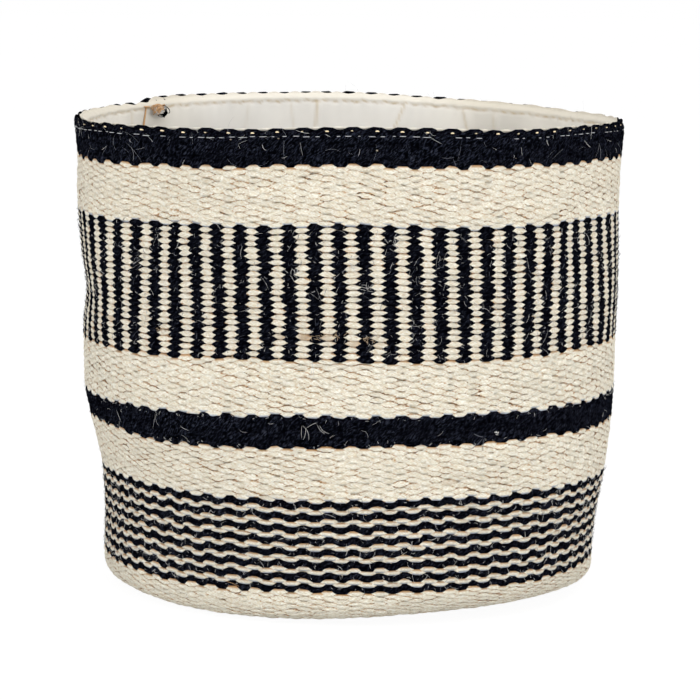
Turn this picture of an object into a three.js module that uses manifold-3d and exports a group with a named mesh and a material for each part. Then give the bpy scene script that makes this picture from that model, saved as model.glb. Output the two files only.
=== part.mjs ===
// Round woven storage basket with a cotton lining. Millimetres, +Z up, the front faces -Y.
// The origin is on the floor, in the middle of the basket.
//
// The basket is a straight tube of weft-faced cloth on a round base. Every piece is first made on
// that straight round tube, from a profile of radius and height, and stand() then gives it the
// stance of the soft basket: an oval mouth, a lean and a rim that dips at the ends of the oval.
import * as THREE from "three";
import { mergeVertices } from "three/addons/utils/BufferGeometryUtils.js";
import Module from "manifold-3d";

const wasm = await Module();
wasm.setup();

// The cloth tube
const tubeRadius = 128; // outside of the cloth, before the tube is pushed oval
const clearance = 0.3; // between pieces that touch
const weftDepth = 2.0; // coloured yarn, proud of the upright warps
const warpDepth = 2.4; // layer of upright cotton warps that all the yarn is woven round
const panelCount = 15; // upright panels that the warps are grouped in
const footRadius = 12; // rounding where the wall turns under the base

// Heights of the woven bands, from the floor up
const footHeight = 17;
const blackLine = 3.5;
const naturalLine = 2.4;
const lineCount = 8;
const lowerBandHeight = 25.5;
const waistBandHeight = 14.6;
const middleBandHeight = 27.4;
const stripeBandHeight = 64;
const upperBandHeight = 28.4;
const rimBandHeight = 18.3;

// Pick-and-pick band: black and natural columns side by side, one warp wide each
const stripeCount = 66;
const stripeStart = 1.67; // degrees, from +X to the middle of a black column
const stripeHeading = 1.5; // natural picks that hold the natural columns together
const carryDepth = 0.7; // black yarn where it passes behind a natural column

// Rim, lining and base
const rimCap = 1.5; // black yarn over the top edge of the warps
const liningThickness = 1.2;
const hemThickness = 0.9; // extra folds of the hem
const hemHeight = 5.5;
const liningDrop = 0.8; // the lining's top below the rim
const baseThickness = 4.7;
const liningBaseThickness = 0.8;

// Side seam, at the back on the left
const seamAngle = 152; // degrees, counterclockwise from +X
const seamWidth = 2.4;
const seamHeight = 0.9;
const knotTurn = 4.5; // degrees from the seam to the knot, towards the back
const knotDrop = 6; // centre of the knot below the rim
const knotRadius = 1.7;
const knotYarn = 0.65;
const knotSteps = 24;
const knotSides = 5;

// Facets round the tube
const panelFacets = 2;
const facets = panelCount * panelFacets;
const cornerFacets = 3; // of the rounded foot

// Heights of the band edges
const linePitch = blackLine + naturalLine;
const linesMiddle = footHeight + (lineCount / 2) * linePitch - naturalLine / 2;
const linesTop = footHeight + lineCount * linePitch - naturalLine;
const waistBottom = linesTop + lowerBandHeight;
const waistTop = waistBottom + waistBandHeight;
const stripesBottom = waistTop + middleBandHeight;
const stripesTop = stripesBottom + stripeBandHeight;
const rimBandBottom = stripesTop + upperBandHeight;
const rimTop = rimBandBottom + rimBandHeight;

// Distances in from the outside of the tube
const warpOutside = weftDepth + clearance;
const warpInside = warpOutside + warpDepth;
const liningOutside = warpInside + clearance;
const liningInside = liningOutside + liningThickness;
const hemInside = liningInside + hemThickness;

// How the soft tube stands. Between two levels each value changes evenly with height.
// squash: how far the tube is pushed oval; lean: sideways shift; dip: drop at the oval's ends
const ovalAngle = THREE.MathUtils.degToRad(16); // the long axis, from +X
const dipTilt = 0.7; // how much more the right end dips than the left
const levels = [
  { height: 0, squash: -0.02, lean: 0, dip: 0 },
  { height: footHeight, squash: -0.018, lean: 0, dip: 0 },
  { height: linesMiddle, squash: -0.008, lean: 1.4, dip: 0 },
  { height: linesTop, squash: 0.012, lean: 2.2, dip: 0 },
  { height: waistBottom, squash: 0.052, lean: 0.8, dip: 0 },
  { height: waistTop, squash: 0.07, lean: 0, dip: 0 },
  { height: stripesTop, squash: 0.082, lean: 0, dip: 0.7 },
  { height: rimBandBottom, squash: 0.09, lean: 0, dip: 1.7 },
  { height: rimTop, squash: 0.108, lean: 0, dip: 2.5 },
];

function stanceAt(height) {
  const last = levels.length - 1;
  let i = 0;
  while (i < last - 1 && height > levels[i + 1].height) i += 1;
  const [low, high] = [levels[i], levels[i + 1]];
  const t = THREE.MathUtils.clamp((height - low.height) / (high.height - low.height), 0, 1);
  const between = (name) => THREE.MathUtils.lerp(low[name], high[name], t);
  return { squash: between("squash"), lean: between("lean"), dip: between("dip") };
}

// Moves each point of a piece from the straight round tube to the standing basket. The cloth
// doesn't stretch, so points slide round a little to keep their distances along the oval.
function stand(geometry) {
  const place = geometry.attributes.position;
  for (let i = 0; i < place.count; i += 1) {
    const [x, y, z] = [place.getX(i), place.getY(i), place.getZ(i)];
    const { squash, lean, dip } = stanceAt(z);
    const before = Math.atan2(y, x) - ovalAngle;
    const angle = before - (squash / 2) * Math.sin(2 * before);
    const radius = Math.hypot(x, y) * (1 + squash * Math.cos(2 * angle));
    const drop = dip * (Math.cos(2 * angle) + dipTilt * Math.cos(angle));
    const around = angle + ovalAngle;
    place.setXYZ(i, radius * Math.cos(around) + lean, radius * Math.sin(around), z - drop);
  }
  geometry.computeVertexNormals();
  return geometry;
}

// A straight line up or down the tube, with a point at each level that it passes, and at any
// other heights given.
function wallLine(inset, from, to, heights = []) {
  const passed = [...levels.map((level) => level.height), ...heights]
    .filter((height) => height > Math.min(from, to) && height < Math.max(from, to))
    .sort((a, b) => (from < to ? a - b : b - a));
  return [from, ...passed, to].map((height) => new THREE.Vector2(tubeRadius - inset, height));
}

// The foot's rounding at a distance in from the outside. Angles run from 0 at the wall
// to 90 degrees underneath.
function footArc(inset, fromAngle, toAngle) {
  const centre = new THREE.Vector2(tubeRadius - footRadius, footRadius);
  const radius = footRadius - inset;
  return Array.from({ length: cornerFacets + 1 }, (_, i) => {
    const angle = THREE.MathUtils.lerp(fromAngle, toAngle, i / cornerFacets);
    return new THREE.Vector2(
      centre.x + radius * Math.cos(angle),
      centre.y - radius * Math.sin(angle),
    );
  });
}

// The angle at which the rounding at this inset reaches a height.
function footAngleAt(inset, height) {
  return Math.asin((footRadius - height) / (footRadius - inset));
}

// Turns a profile of radius and height round the axis, and stands it up. The profile runs
// counterclockwise, up the outside; a ring's profile is closed on itself.
function turned(profile) {
  const lathe = new THREE.LatheGeometry(profile, facets);
  alignDiagonals(lathe, profile, facets);
  return stand(lathe.rotateX(Math.PI / 2));
}

// A standing wall's faces are slightly twisted, so the two surfaces of a joint only stay apart if
// their faces are split along the same diagonal. A lathe splits those that go down the other way.
function alignDiagonals(lathe, profile, sides) {
  const index = lathe.index;
  const rows = profile.length;
  for (let side = 0; side < sides; side += 1) {
    for (let row = 0; row < rows - 1; row += 1) {
      if (profile[row + 1].y >= profile[row].y) continue;
      const a = side * rows + row;
      const [b, c, d] = [a + rows, a + rows + 1, a + 1];
      const first = 6 * (side * (rows - 1) + row);
      [a, b, c, a, c, d].forEach((corner, k) => index.setX(first + k, corner));
    }
  }
}

function ring(profile) {
  return turned([...profile, profile[0].clone()]);
}

// One of the equal upright panels of a ring, closed at both sides, half a clearance from its
// neighbours. Its outside and inside both run upwards, with the same number of points.
function panelOfRing(outside, inside, number) {
  const gap = clearance / 2 / tubeRadius;
  const width = (2 * Math.PI) / panelCount;
  const [from, to] = [number * width + gap, (number + 1) * width - gap];
  const profile = [...outside, ...inside.toReversed(), outside[0].clone()];
  const panel = new THREE.LatheGeometry(profile, panelFacets, from, to - from);
  alignDiagonals(panel, profile, panelFacets);
  const faces = [...panel.index.array];
  const last = panelFacets * profile.length;
  for (let low = 0; low < outside.length - 1; low += 1) {
    const high = low + 1;
    const [innerLow, innerHigh] = [profile.length - 2 - low, profile.length - 2 - high];
    faces.push(low, high, innerHigh, low, innerHigh, innerLow);
    faces.push(last + low, last + innerHigh, last + high);
    faces.push(last + low, last + innerLow, last + innerHigh);
  }
  panel.setIndex(faces);
  return stand(mergeVertices(bare(panel)).rotateX(Math.PI / 2));
}

// Leaves a geometry's points and triangles only.
function bare(geometry) {
  geometry.deleteAttribute("normal");
  geometry.deleteAttribute("uv");
  return geometry;
}

// A band of yarn round the warps, with half a clearance at its lower and upper edge.
function band(bottom, top) {
  return ring([
    ...wallLine(0, bottom + clearance / 2, top - clearance / 2),
    ...wallLine(weftDepth, top - clearance / 2, bottom + clearance / 2),
  ]);
}

// A panel of cotton warps. Warps run from the base to the rim and carry every band. They have a
// point at the foot of each black line, so that they follow the lines closely.
function warpPanel(number) {
  const bottom = baseThickness + clearance;
  const top = rimTop - rimCap - clearance;
  const lineFeet = Array.from({ length: lineCount - 1 }, (_, i) => footHeight + (i + 1) * linePitch);
  const upright = (inset) => [
    ...footArc(inset, footAngleAt(inset, bottom), 0),
    ...wallLine(inset, footRadius, top, lineFeet).slice(1),
  ];
  return panelOfRing(upright(warpOutside), upright(warpInside), number);
}

// Black yarn at the rim, which also goes over the top of the warps.
function rimBand() {
  const bottom = rimBandBottom + clearance / 2;
  const capBottom = rimTop - rimCap;
  return ring([
    ...wallLine(0, bottom, rimTop),
    ...wallLine(warpInside, rimTop, capBottom),
    ...wallLine(weftDepth, capBottom, bottom),
  ]);
}

// Lowest natural band, which turns under and ends beside the base's seam.
const footEnd = footAngleAt(0, clearance);
function footBand() {
  const top = footHeight - clearance / 2;
  return ring([
    ...footArc(0, footEnd, 0),
    ...wallLine(0, footRadius, top).slice(1),
    ...wallLine(weftDepth, top, footRadius),
    ...footArc(weftDepth, 0, footEnd).slice(1),
  ]);
}

// The middle of a black column, or with half a step more, of the natural column after it.
function columnAngle(i) {
  return THREE.MathUtils.degToRad(stripeStart) + (2 * Math.PI * i) / stripeCount;
}

function polar(radius, angle) {
  return new THREE.Vector2(radius * Math.cos(angle), radius * Math.sin(angle));
}

// A polygon with one corner in the middle of each natural column.
function columnPolygon(radius) {
  const corners = Array.from({ length: stripeCount }, (_, i) => polar(radius, columnAngle(i + 0.5)));
  return new THREE.Shape(corners);
}

// Plan of the black comb: a thin ring that passes behind the natural columns, and a rib at each
// black column. A growth makes the ribs wider and longer, to cut their windows.
function combPlan(growth) {
  const halfRib = Math.PI / 2 / stripeCount + (growth - clearance / 2) / tubeRadius;
  const ringRadius = tubeRadius - weftDepth + carryDepth;
  const corners = [];
  for (let i = 0; i < stripeCount; i += 1) {
    const [left, right] = [columnAngle(i) - halfRib, columnAngle(i) + halfRib];
    corners.push(polar(ringRadius, left), polar(tubeRadius + growth, left));
    corners.push(polar(tubeRadius + growth, right), polar(ringRadius, right));
  }
  const plan = new THREE.Shape(corners);
  plan.holes.push(columnPolygon((tubeRadius - weftDepth) / Math.cos(Math.PI / stripeCount)));
  return plan;
}

function extruded(plan, bottom, top) {
  const solid = new THREE.ExtrudeGeometry(plan, { depth: top - bottom, bevelEnabled: false });
  return solid.translate(0, 0, bottom);
}

const combBottom = stripesBottom + stripeHeading + clearance / 2;
const combTop = stripesTop - stripeHeading - clearance / 2;

function blackStripes() {
  return stand(extruded(combPlan(0), combBottom, combTop));
}

function toManifold(geometry) {
  const merged = mergeVertices(bare(geometry));
  return new wasm.Manifold(
    new wasm.Mesh({
      numProp: 3,
      vertProperties: merged.attributes.position.array,
      triVerts: new Uint32Array(merged.index.array),
    }),
  );
}

function toGeometry(solid) {
  const mesh = solid.getMesh();
  const geometry = new THREE.BufferGeometry();
  geometry.setAttribute("position", new THREE.BufferAttribute(mesh.vertProperties, 3));
  geometry.setIndex(new THREE.BufferAttribute(mesh.triVerts, 1));
  return geometry;
}

// Natural columns and their headings: a sleeve with a window for each rib of the comb.
function naturalStripes() {
  const sleevePlan = columnPolygon(tubeRadius);
  sleevePlan.holes.push(columnPolygon(tubeRadius - weftDepth + carryDepth + clearance));
  const sleeve = extruded(sleevePlan, stripesBottom + clearance / 2, stripesTop - clearance / 2);
  const windows = extruded(combPlan(clearance), combBottom - clearance, combTop + clearance);
  return stand(toGeometry(toManifold(sleeve).subtract(toManifold(windows))));
}

// Round woven base. Its edge steps up over the foot band's end and carries the warps.
function basePanel() {
  const seat = footArc(warpOutside, footEnd, footAngleAt(warpOutside, baseThickness));
  const seamRadius = seat[0].x - clearance;
  return turned([
    new THREE.Vector2(0, 0),
    new THREE.Vector2(seamRadius, 0),
    new THREE.Vector2(seamRadius, seat[0].y),
    ...seat,
    new THREE.Vector2(0, baseThickness),
  ]);
}

// Cotton lining of the wall, with a folded hem at the top.
const liningFloor = baseThickness + clearance + liningBaseThickness;
function liningWall() {
  const bottomAngle = THREE.MathUtils.degToRad(72);
  const top = rimTop - liningDrop;
  const hemBottom = top - hemHeight;
  return ring([
    ...footArc(liningOutside, bottomAngle, 0),
    ...wallLine(liningOutside, footRadius, top).slice(1),
    ...wallLine(hemInside, top, hemBottom),
    ...wallLine(liningInside, hemBottom, footRadius),
    ...footArc(liningInside, 0, bottomAngle).slice(1),
  ]);
}

function liningBase() {
  const bottom = baseThickness + clearance;
  const edge = footArc(warpInside, footAngleAt(warpInside, bottom), 0)[0].x - clearance;
  return turned([
    new THREE.Vector2(0, bottom),
    new THREE.Vector2(edge, bottom),
    new THREE.Vector2(edge, liningFloor),
    new THREE.Vector2(0, liningFloor),
  ]);
}

// Where a small piece sits inside the lining: clear of the middle of a facet, its nearest point.
function seatInside(inset) {
  return (tubeRadius - inset) * Math.cos(Math.PI / facets) - clearance;
}

// Sewn welt down the inside of the lining, in the corner of the facets nearest the seam. Facets
// are counted from the front.
function liningSeam() {
  const front = -90;
  const facetAngle = 360 / facets;
  const angle = front + Math.round((seamAngle - front) / facetAngle) * facetAngle;
  const section = new THREE.Shape();
  section.moveTo(0, seamWidth / 2);
  section.lineTo(-seamHeight, seamWidth / 6);
  section.lineTo(-seamHeight, -seamWidth / 6);
  section.lineTo(0, -seamWidth / 2);
  section.closePath();
  const bottom = footRadius;
  const top = rimTop - liningDrop - hemHeight - clearance;
  const welt = new THREE.ExtrudeGeometry(section, {
    depth: top - bottom,
    steps: 2 * levels.length,
    bevelEnabled: false,
  });
  welt.translate(seatInside(liningInside), 0, bottom).rotateZ(THREE.MathUtils.degToRad(angle));
  return stand(welt);
}

// Tied yarn ends on the hem, beside the seam.
function seamKnot() {
  const knot = new THREE.TorusKnotGeometry(knotRadius, knotYarn, knotSteps, knotSides);
  knot.rotateY(Math.PI / 2);
  knot.computeBoundingBox();
  const outward = seatInside(hemInside) - knot.boundingBox.max.x;
  knot.translate(outward, 0, rimTop - knotDrop);
  knot.rotateZ(THREE.MathUtils.degToRad(seamAngle - knotTurn));
  return stand(knot);
}

// Materials
const naturalYarn = { color: 0xe4dac4, roughness: 0.95, metalness: 0 };
const blackYarn = { color: 0x171922, roughness: 0.9, metalness: 0 };
const cottonWarp = { color: 0xd9c6a2, roughness: 0.95, metalness: 0 };
const liningCotton = { color: 0xe6e1d8, roughness: 0.9, metalness: 0 };
const tanThread = { color: 0xa9764a, roughness: 0.85, metalness: 0 };

const basket = new THREE.Group();

function add(name, geometry, finish) {
  const mesh = new THREE.Mesh(geometry, new THREE.MeshStandardMaterial(finish));
  mesh.name = name;
  basket.add(mesh);
}

for (let i = 0; i < panelCount; i += 1) add(`warp_panel_${i + 1}`, warpPanel(i), cottonWarp);
add("base_panel", basePanel(), naturalYarn);
add("foot_band", footBand(), naturalYarn);
for (let i = 0; i < lineCount; i += 1) {
  const bottom = footHeight + i * linePitch;
  add(`black_line_${i + 1}`, band(bottom, bottom + blackLine), blackYarn);
  if (i < lineCount - 1) {
    add(`natural_line_${i + 1}`, band(bottom + blackLine, bottom + linePitch), naturalYarn);
  }
}
add("lower_band", band(linesTop, waistBottom), naturalYarn);
add("waist_band", band(waistBottom, waistTop), blackYarn);
add("middle_band", band(waistTop, stripesBottom), naturalYarn);
add("natural_stripes", naturalStripes(), naturalYarn);
add("black_stripes", blackStripes(), blackYarn);
add("upper_band", band(stripesTop, rimBandBottom), naturalYarn);
add("rim_band", rimBand(), blackYarn);
add("lining_wall", liningWall(), liningCotton);
add("lining_base", liningBase(), liningCotton);
add("lining_seam", liningSeam(), tanThread);
add("seam_knot", seamKnot(), tanThread);

export default basket;
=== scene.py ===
"""Woven storage basket: every weft yarn, the lining, the rim and the seam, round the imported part.

The wall is one cloth tube. Its warps stand upright, and each pick of weft passes over one warp and
under the next. A place on the wall is given by its angle round the straight tube, its distance up
the cloth and its depth into the cloth, and stand() then gives it the soft basket's stance. Lengths
are in mm until stand() makes them metres, and angles are seen from above, with the front at 270.
"""
import math
from collections import namedtuple

import bpy
import numpy as np
from bpy.props import FloatProperty, FloatVectorProperty, IntProperty, PointerProperty
from mathutils import Euler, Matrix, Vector


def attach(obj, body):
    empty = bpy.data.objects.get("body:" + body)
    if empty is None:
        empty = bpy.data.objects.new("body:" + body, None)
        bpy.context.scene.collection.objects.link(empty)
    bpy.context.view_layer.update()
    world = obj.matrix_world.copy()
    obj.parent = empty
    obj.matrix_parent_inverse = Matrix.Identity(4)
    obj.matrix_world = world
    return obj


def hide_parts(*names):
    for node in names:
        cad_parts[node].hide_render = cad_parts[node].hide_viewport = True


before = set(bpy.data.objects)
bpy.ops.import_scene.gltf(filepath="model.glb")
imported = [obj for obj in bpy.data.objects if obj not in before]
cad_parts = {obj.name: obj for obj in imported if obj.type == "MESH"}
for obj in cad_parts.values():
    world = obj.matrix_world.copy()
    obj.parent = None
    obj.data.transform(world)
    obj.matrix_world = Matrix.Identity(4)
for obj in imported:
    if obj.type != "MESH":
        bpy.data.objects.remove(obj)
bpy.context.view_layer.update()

bl_info = {
    "name": "Woven storage basket",
    "version": (1, 0, 0),
    "blender": (4, 5, 0),
    "location": "View3D > Sidebar > Basket",
    "description": "Weaves the yarns of a lined basket and sets it on a plain stage",
    "category": "Add Mesh",
}

MM = 0.001

# ---------------------------------------------------------------------------
# The wall of the basket
# ---------------------------------------------------------------------------
TUBE_RADIUS = 128.0
FOOT_RADIUS = 12.0  # of the turn from the wall into the base
LINING_RADIUS = 122.0
RIM_TOP = 240.0
OVAL_ANGLE = math.radians(16)  # where the oval mouth is longest
DIP_TILT = 0.7  # how much more the mouth drops at the right than at the left
STRIPE_START = math.radians(1.67)  # of the first warp
SEAM_ANGLE = math.radians(152)

# Height on the wall, how oval, sideways shift, drop at the oval's ends
LEVELS = np.array([
    (0.0, -0.020, 0.0, 0.0),
    (17.0, -0.018, 0.0, 0.0),
    (39.4, -0.008, 1.4, 0.0),
    (61.8, 0.012, 2.2, 0.0),
    (87.3, 0.052, 0.8, 0.0),
    (101.9, 0.070, 0.0, 0.0),
    (193.3, 0.082, 0.0, 0.7),
    (221.7, 0.090, 0.0, 1.7),
    (240.0, 0.108, 0.0, 2.5),
])
LEVEL_EASE = (-5.0, -2.5, 0.0, 2.5, 5.0)

# How the soft cloth strays from that stance: up the wall, and round it. Each row is a height on
# the wall, and its values stand at these angles.
STRAY_ANGLES = (0, 30, 60, 90, 120, 150, 165, 185, 200, 212, 224, 236, 248, 260, 272, 284, 296,
                308, 320, 332, 344, 360)
BACK = (0,) * 8
STRAY_UP = {
    0: (2.4, 0.6, 0, 0, 0, 0, 0.6, 1.8, 2.4, 1.9, 1.2, 0.8, 1.0, 1.6, 3.0, 4.5, 5.4, 5.6, 5.8,
        5.4, 3.8, 2.4),
    17: BACK + (-0.4, -0.4, -1.1, -0.7, -0.2, 0.4, 0.8, 0.3, 0, 0, -0.3, -0.1, 0.5, 0),
    61.8: BACK + (-0.7, 0.1, -0.4, -1.2, -0.8, -1.1, -0.3, 0.1, 0.2, -0.4, -1.0, -1.7, -2.0, 0),
    87.3: BACK + (1.2, 0.4, -2.0, -2.0, -1.1, -0.3, -0.2, 0.9, -0.3, -0.1, 0.2, -0.2, -0.9, 0),
    101.9: BACK + (-0.9, -1.0, -1.3, -0.9, -0.1, 0.3, -0.4, -0.8, -0.8, -0.9, -1.0, -1.0, -1.0, 0),
    129.3: BACK + (-0.5, -1.5, -1.4, -0.4, 0.3, 0, -0.5, -1.5, -2.0, -1.7, -1.1, 0.2, -0.4, 0),
    193.3: BACK + (-1.6, -1.0, -0.7, -0.4, -0.5, 0.5, 0.7, -0.4, -1.8, -2.0, -1.4, 0, -0.4, 0),
    221.7: BACK + (-1.3, -1.1, -1.0, -0.6, -0.3, 0.2, 0.3, -0.7, -1.6, -0.8, 0.2, 0.7, 1.5, 0.5),
    240: (2.0, 0.8, 1.3, 1.9, 0.9, 0.7, 0.3, 0.2, -0.3, 0.1, 0.1, -0.6, -1.0, -0.5, -0.2, -1.0,
          -1.5, -1.6, -0.4, 1.1, 1.6, 2.0),
}
STRAY_ROUND = {
    0: BACK + (-2.5, -3.4, -2.3, -1.7, -1.4, -1.0, -0.6, -0.5, -0.8, -0.8, -0.6, 0.2, 1.0, 0),
    20: BACK + (-5.0, -6.8, -4.6, -3.4, -2.8, -1.9, -1.1, -1.0, -1.5, -1.6, -1.1, 0.3, 2.0, 0),
    38: BACK + (-3.0, -5.2, -6.2, -5.4, -4.3, -3.1, -2.5, -2.7, -2.5, -1.2, 0.3, 2.5, 3.5, 0),
    55: BACK + (-1.0, -2.2, -5.0, -6.1, -5.4, -3.4, -3.1, -4.2, -4.3, -1.9, 0.6, 3.6, 4.5, 0),
    87.3: BACK + (2.0, 2.0, 1.0, -2.1, -2.4, -2.0, -1.2, -2.6, -4.6, -2.6, -0.3, 3.0, 3.5, 0),
    101.9: BACK + (3.5, 1.2, 0.5, -0.7, -0.2, -1.8, -0.4, -0.3, -0.3, -0.3, 2.1, 2.3, 1.0, 0),
    140: BACK + (-2.0, -5.0, 0.8, 3.1, 1.8, 0.6, 0, 1.7, 2.7, 2.4, 1.0, -1.2, 0.5, 0),
    185: BACK + (-4.5, -1.5, 1.7, 0.8, -0.3, -0.6, -1.0, -0.3, 1.2, 2.8, 2.4, -4.0, -5.0, 0),
    230: (0, 0.8, 1.5, 1.5, 1.5, 1.5, 1.0, 0, -4.0, -1.4, 2.8, 1.8, 0.7, 0, -0.6, 0, 1.8, 1.7,
          -0.5, -3.5, -3.5, 0),
}
FIELD_HEIGHTS = np.arange(242)  # a row of a field for each mm up the wall, and one over
FIELD_DEGREES = np.arange(361)
EASE = np.exp(-np.linspace(-2, 2, 13) ** 2)  # weights that ease a field over its neighbours
EASE /= EASE.sum()

# Soft dents and swellings: angle, height, half width round and up, and how far out
SWELLINGS = [
    (188, 153, 40, 13, -2.4),
    (190, 198, 45, 15, 1.0),
    (213, 140, 9, 26, -0.8),
    (352, 158, 60, 34, 1.5),
    (350, 34, 60, 22, -1.5),
    (1, 241, 24, 5, -1.6),
]
# Waves: size, number round the wall, rise for each radian of the swing, start
CLOTH_WAVES = [(0.45, 3, 55.0, 0.4), (0.35, 5, -41.0, 2.1), (0.15, 13, -23.0, 0.0)]
PICK_WAVES = [(0.14, 9, 17.0, 4.0), (0.15, 17, -12.0, 2.0), (0.13, 29, 9.0, 0.0),
              (0.10, 47, -6.0, 0.0)]
LINING_WAVES = [(1.1, 7, math.inf, 0.3), (0.8, 11, 30.0, 0.0), (0.5, 23, -18.0, 0.0)]


def apart(angle, middle):
    """The turn from one angle to another, at most half a turn either way."""
    return np.mod(angle - middle + math.pi, 2 * math.pi) - math.pi


def ramp(value, start, end):
    """From 0 at the start to 1 at the end."""
    return np.clip((value - start) / (end - start), 0.0, 1.0)


def ripple(waves, angle, height):
    return sum(size * np.sin(times * angle + height / rise + start)
               for size, times, rise, start in waves)


def smooth_levels(height):
    """The stance at each height, eased over a few millimetres."""
    height = np.asarray(height, float)
    total = np.zeros(height.shape + (3,))
    for shift in LEVEL_EASE:
        at = np.clip(height + shift, 0.0, RIM_TOP)
        for column in range(3):
            total[..., column] += np.interp(at, LEVELS[:, 0], LEVELS[:, column + 1])
    return total / len(LEVEL_EASE)


def stray_field(rows):
    """A smooth field over every millimetre of height and every degree, from a few rows of it."""
    coarse = np.stack([np.interp(FIELD_DEGREES, STRAY_ANGLES, row) for row in rows.values()])
    reach = len(EASE) // 2
    ring = np.concatenate([coarse[:, -reach - 1:-1], coarse, coarse[:, 1:reach + 1]], axis=1)
    coarse = np.stack([np.convolve(row, EASE, "valid") for row in ring])
    share = np.stack([np.interp(FIELD_HEIGHTS, list(rows), unit) for unit in np.eye(len(rows))],
                     axis=1)
    fine = share @ coarse
    tall = np.concatenate([fine[:1].repeat(reach, 0), fine, fine[-1:].repeat(reach, 0)])
    return np.stack([np.convolve(column, EASE, "valid") for column in tall.T], axis=1)


def look_up(field, angle, height):
    """A field between its four nearest places."""
    turn = np.mod(np.degrees(angle), 360)
    up = np.clip(height, 0, FIELD_HEIGHTS[-1] - 0.1)
    i, j = up.astype(int), turn.astype(int)
    a, b = up - i, turn - j
    low = field[i, j] * (1 - b) + field[i, j + 1] * b
    high = field[i + 1, j] * (1 - b) + field[i + 1, j + 1] * b
    return low * (1 - a) + high * a


UP_FIELD = stray_field(STRAY_UP)
ROUND_FIELD = stray_field(STRAY_ROUND)


def stand(angle, along, depth):
    """Places in metres, from the angle, the distance up the cloth and the depth into it, in mm."""
    angle, along, depth = np.broadcast_arrays(
        np.asarray(angle, float), np.asarray(along, float), np.asarray(depth, float)
    )
    turn = np.clip((FOOT_RADIUS - along) / FOOT_RADIUS, 0.0, math.pi / 2)
    below = along < FOOT_RADIUS
    radius = np.where(
        below,
        TUBE_RADIUS - FOOT_RADIUS + (FOOT_RADIUS - depth) * np.cos(turn),
        TUBE_RADIUS - depth,
    )
    height = np.where(below, FOOT_RADIUS - (FOOT_RADIUS - depth) * np.sin(turn), along)
    angle = angle + look_up(ROUND_FIELD, angle, height) / TUBE_RADIUS
    stance = smooth_levels(height)
    squash, lean, dip = stance[..., 0], stance[..., 1], stance[..., 2]
    before = angle - OVAL_ANGLE
    turned = before - squash / 2 * np.sin(2 * before)
    radius = radius * (1 + squash * np.cos(2 * turned)) + dents(angle, height)
    drop = dip * (np.cos(2 * turned) + DIP_TILT * np.cos(turned))
    around = turned + OVAL_ANGLE
    height = height + look_up(UP_FIELD, angle, height)
    return np.stack([
        (radius * np.cos(around) + lean) * MM,
        radius * np.sin(around) * MM,
        (height - drop) * MM,
    ], axis=-1)


def dents(angle, height):
    """Soft unevenness of the cloth, with none at the foot but the swellings' own."""
    rise = np.sin(height / 37.0 + 0.6)
    waves = ripple(CLOTH_WAVES, angle, height) + 0.25 * np.sin(8 * angle + 1.3) * rise
    waves = waves * ramp(height, 0.0, 60.0)
    for place, level, wide, tall, out in SWELLINGS:
        away = apart(angle, math.radians(place)) * TUBE_RADIUS / wide
        waves = waves + out * np.exp(-away ** 2 - ((height - level) / tall) ** 2)
    return waves


def wobble(angle, along):
    """How far the picks stray up and down together."""
    calm = np.clip((RIM_TOP - along) / 20.0, 0.25, 1.0) * ramp(along, -6.0, 6.0)
    return ripple(PICK_WAVES, angle, along) * calm


def seam_step(angle, along):
    """The two edges of the cloth meet at the side seam a little out of line."""
    away = apart(angle, SEAM_ANGLE - math.radians(6))
    step = 0.55 * ramp(along, 0.0, 60.0) + 0.8 * ramp(along, 220.0, 240.0)
    return -step * np.tanh(away / 0.03) * np.exp(-np.abs(away) / 0.35)


# ---------------------------------------------------------------------------
# Meshes
# ---------------------------------------------------------------------------
def deselect():
    bpy.ops.object.select_all(action="DESELECT")


def link(name, mesh):
    piece = bpy.data.objects.new(name, mesh)
    bpy.context.scene.collection.objects.link(piece)
    return piece


def read_places(mesh):
    places = np.empty(len(mesh.vertices) * 3)
    mesh.vertices.foreach_get("co", places)
    return places.reshape(-1, 3)


def write_places(mesh, places):
    mesh.vertices.foreach_set("co", places.ravel().astype(np.float32))


def read_corners(mesh):
    """The vertex at each corner of the faces."""
    corners = np.empty(len(mesh.loops), np.int32)
    mesh.loops.foreach_get("vertex_index", corners)
    return corners


def add_map(mesh, name, values):
    layer = mesh.uv_layers.new(name=name)
    layer.uv.foreach_set("vector", values.astype(np.float32).ravel())


def add_value(mesh, name, values):
    attribute = mesh.attributes.new(name, "FLOAT", "POINT")
    attribute.data.foreach_set("value", values.astype(np.float32).ravel())


def thicken(piece, thickness, offset):
    """Give flat cloth its thickness: about its middle at offset 0, and inwards at -1."""
    solid = piece.modifiers.new("Cloth thickness", "SOLIDIFY")
    solid.thickness = thickness * MM
    solid.offset = offset
    bpy.ops.object.modifier_apply(modifier=solid.name)


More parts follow.
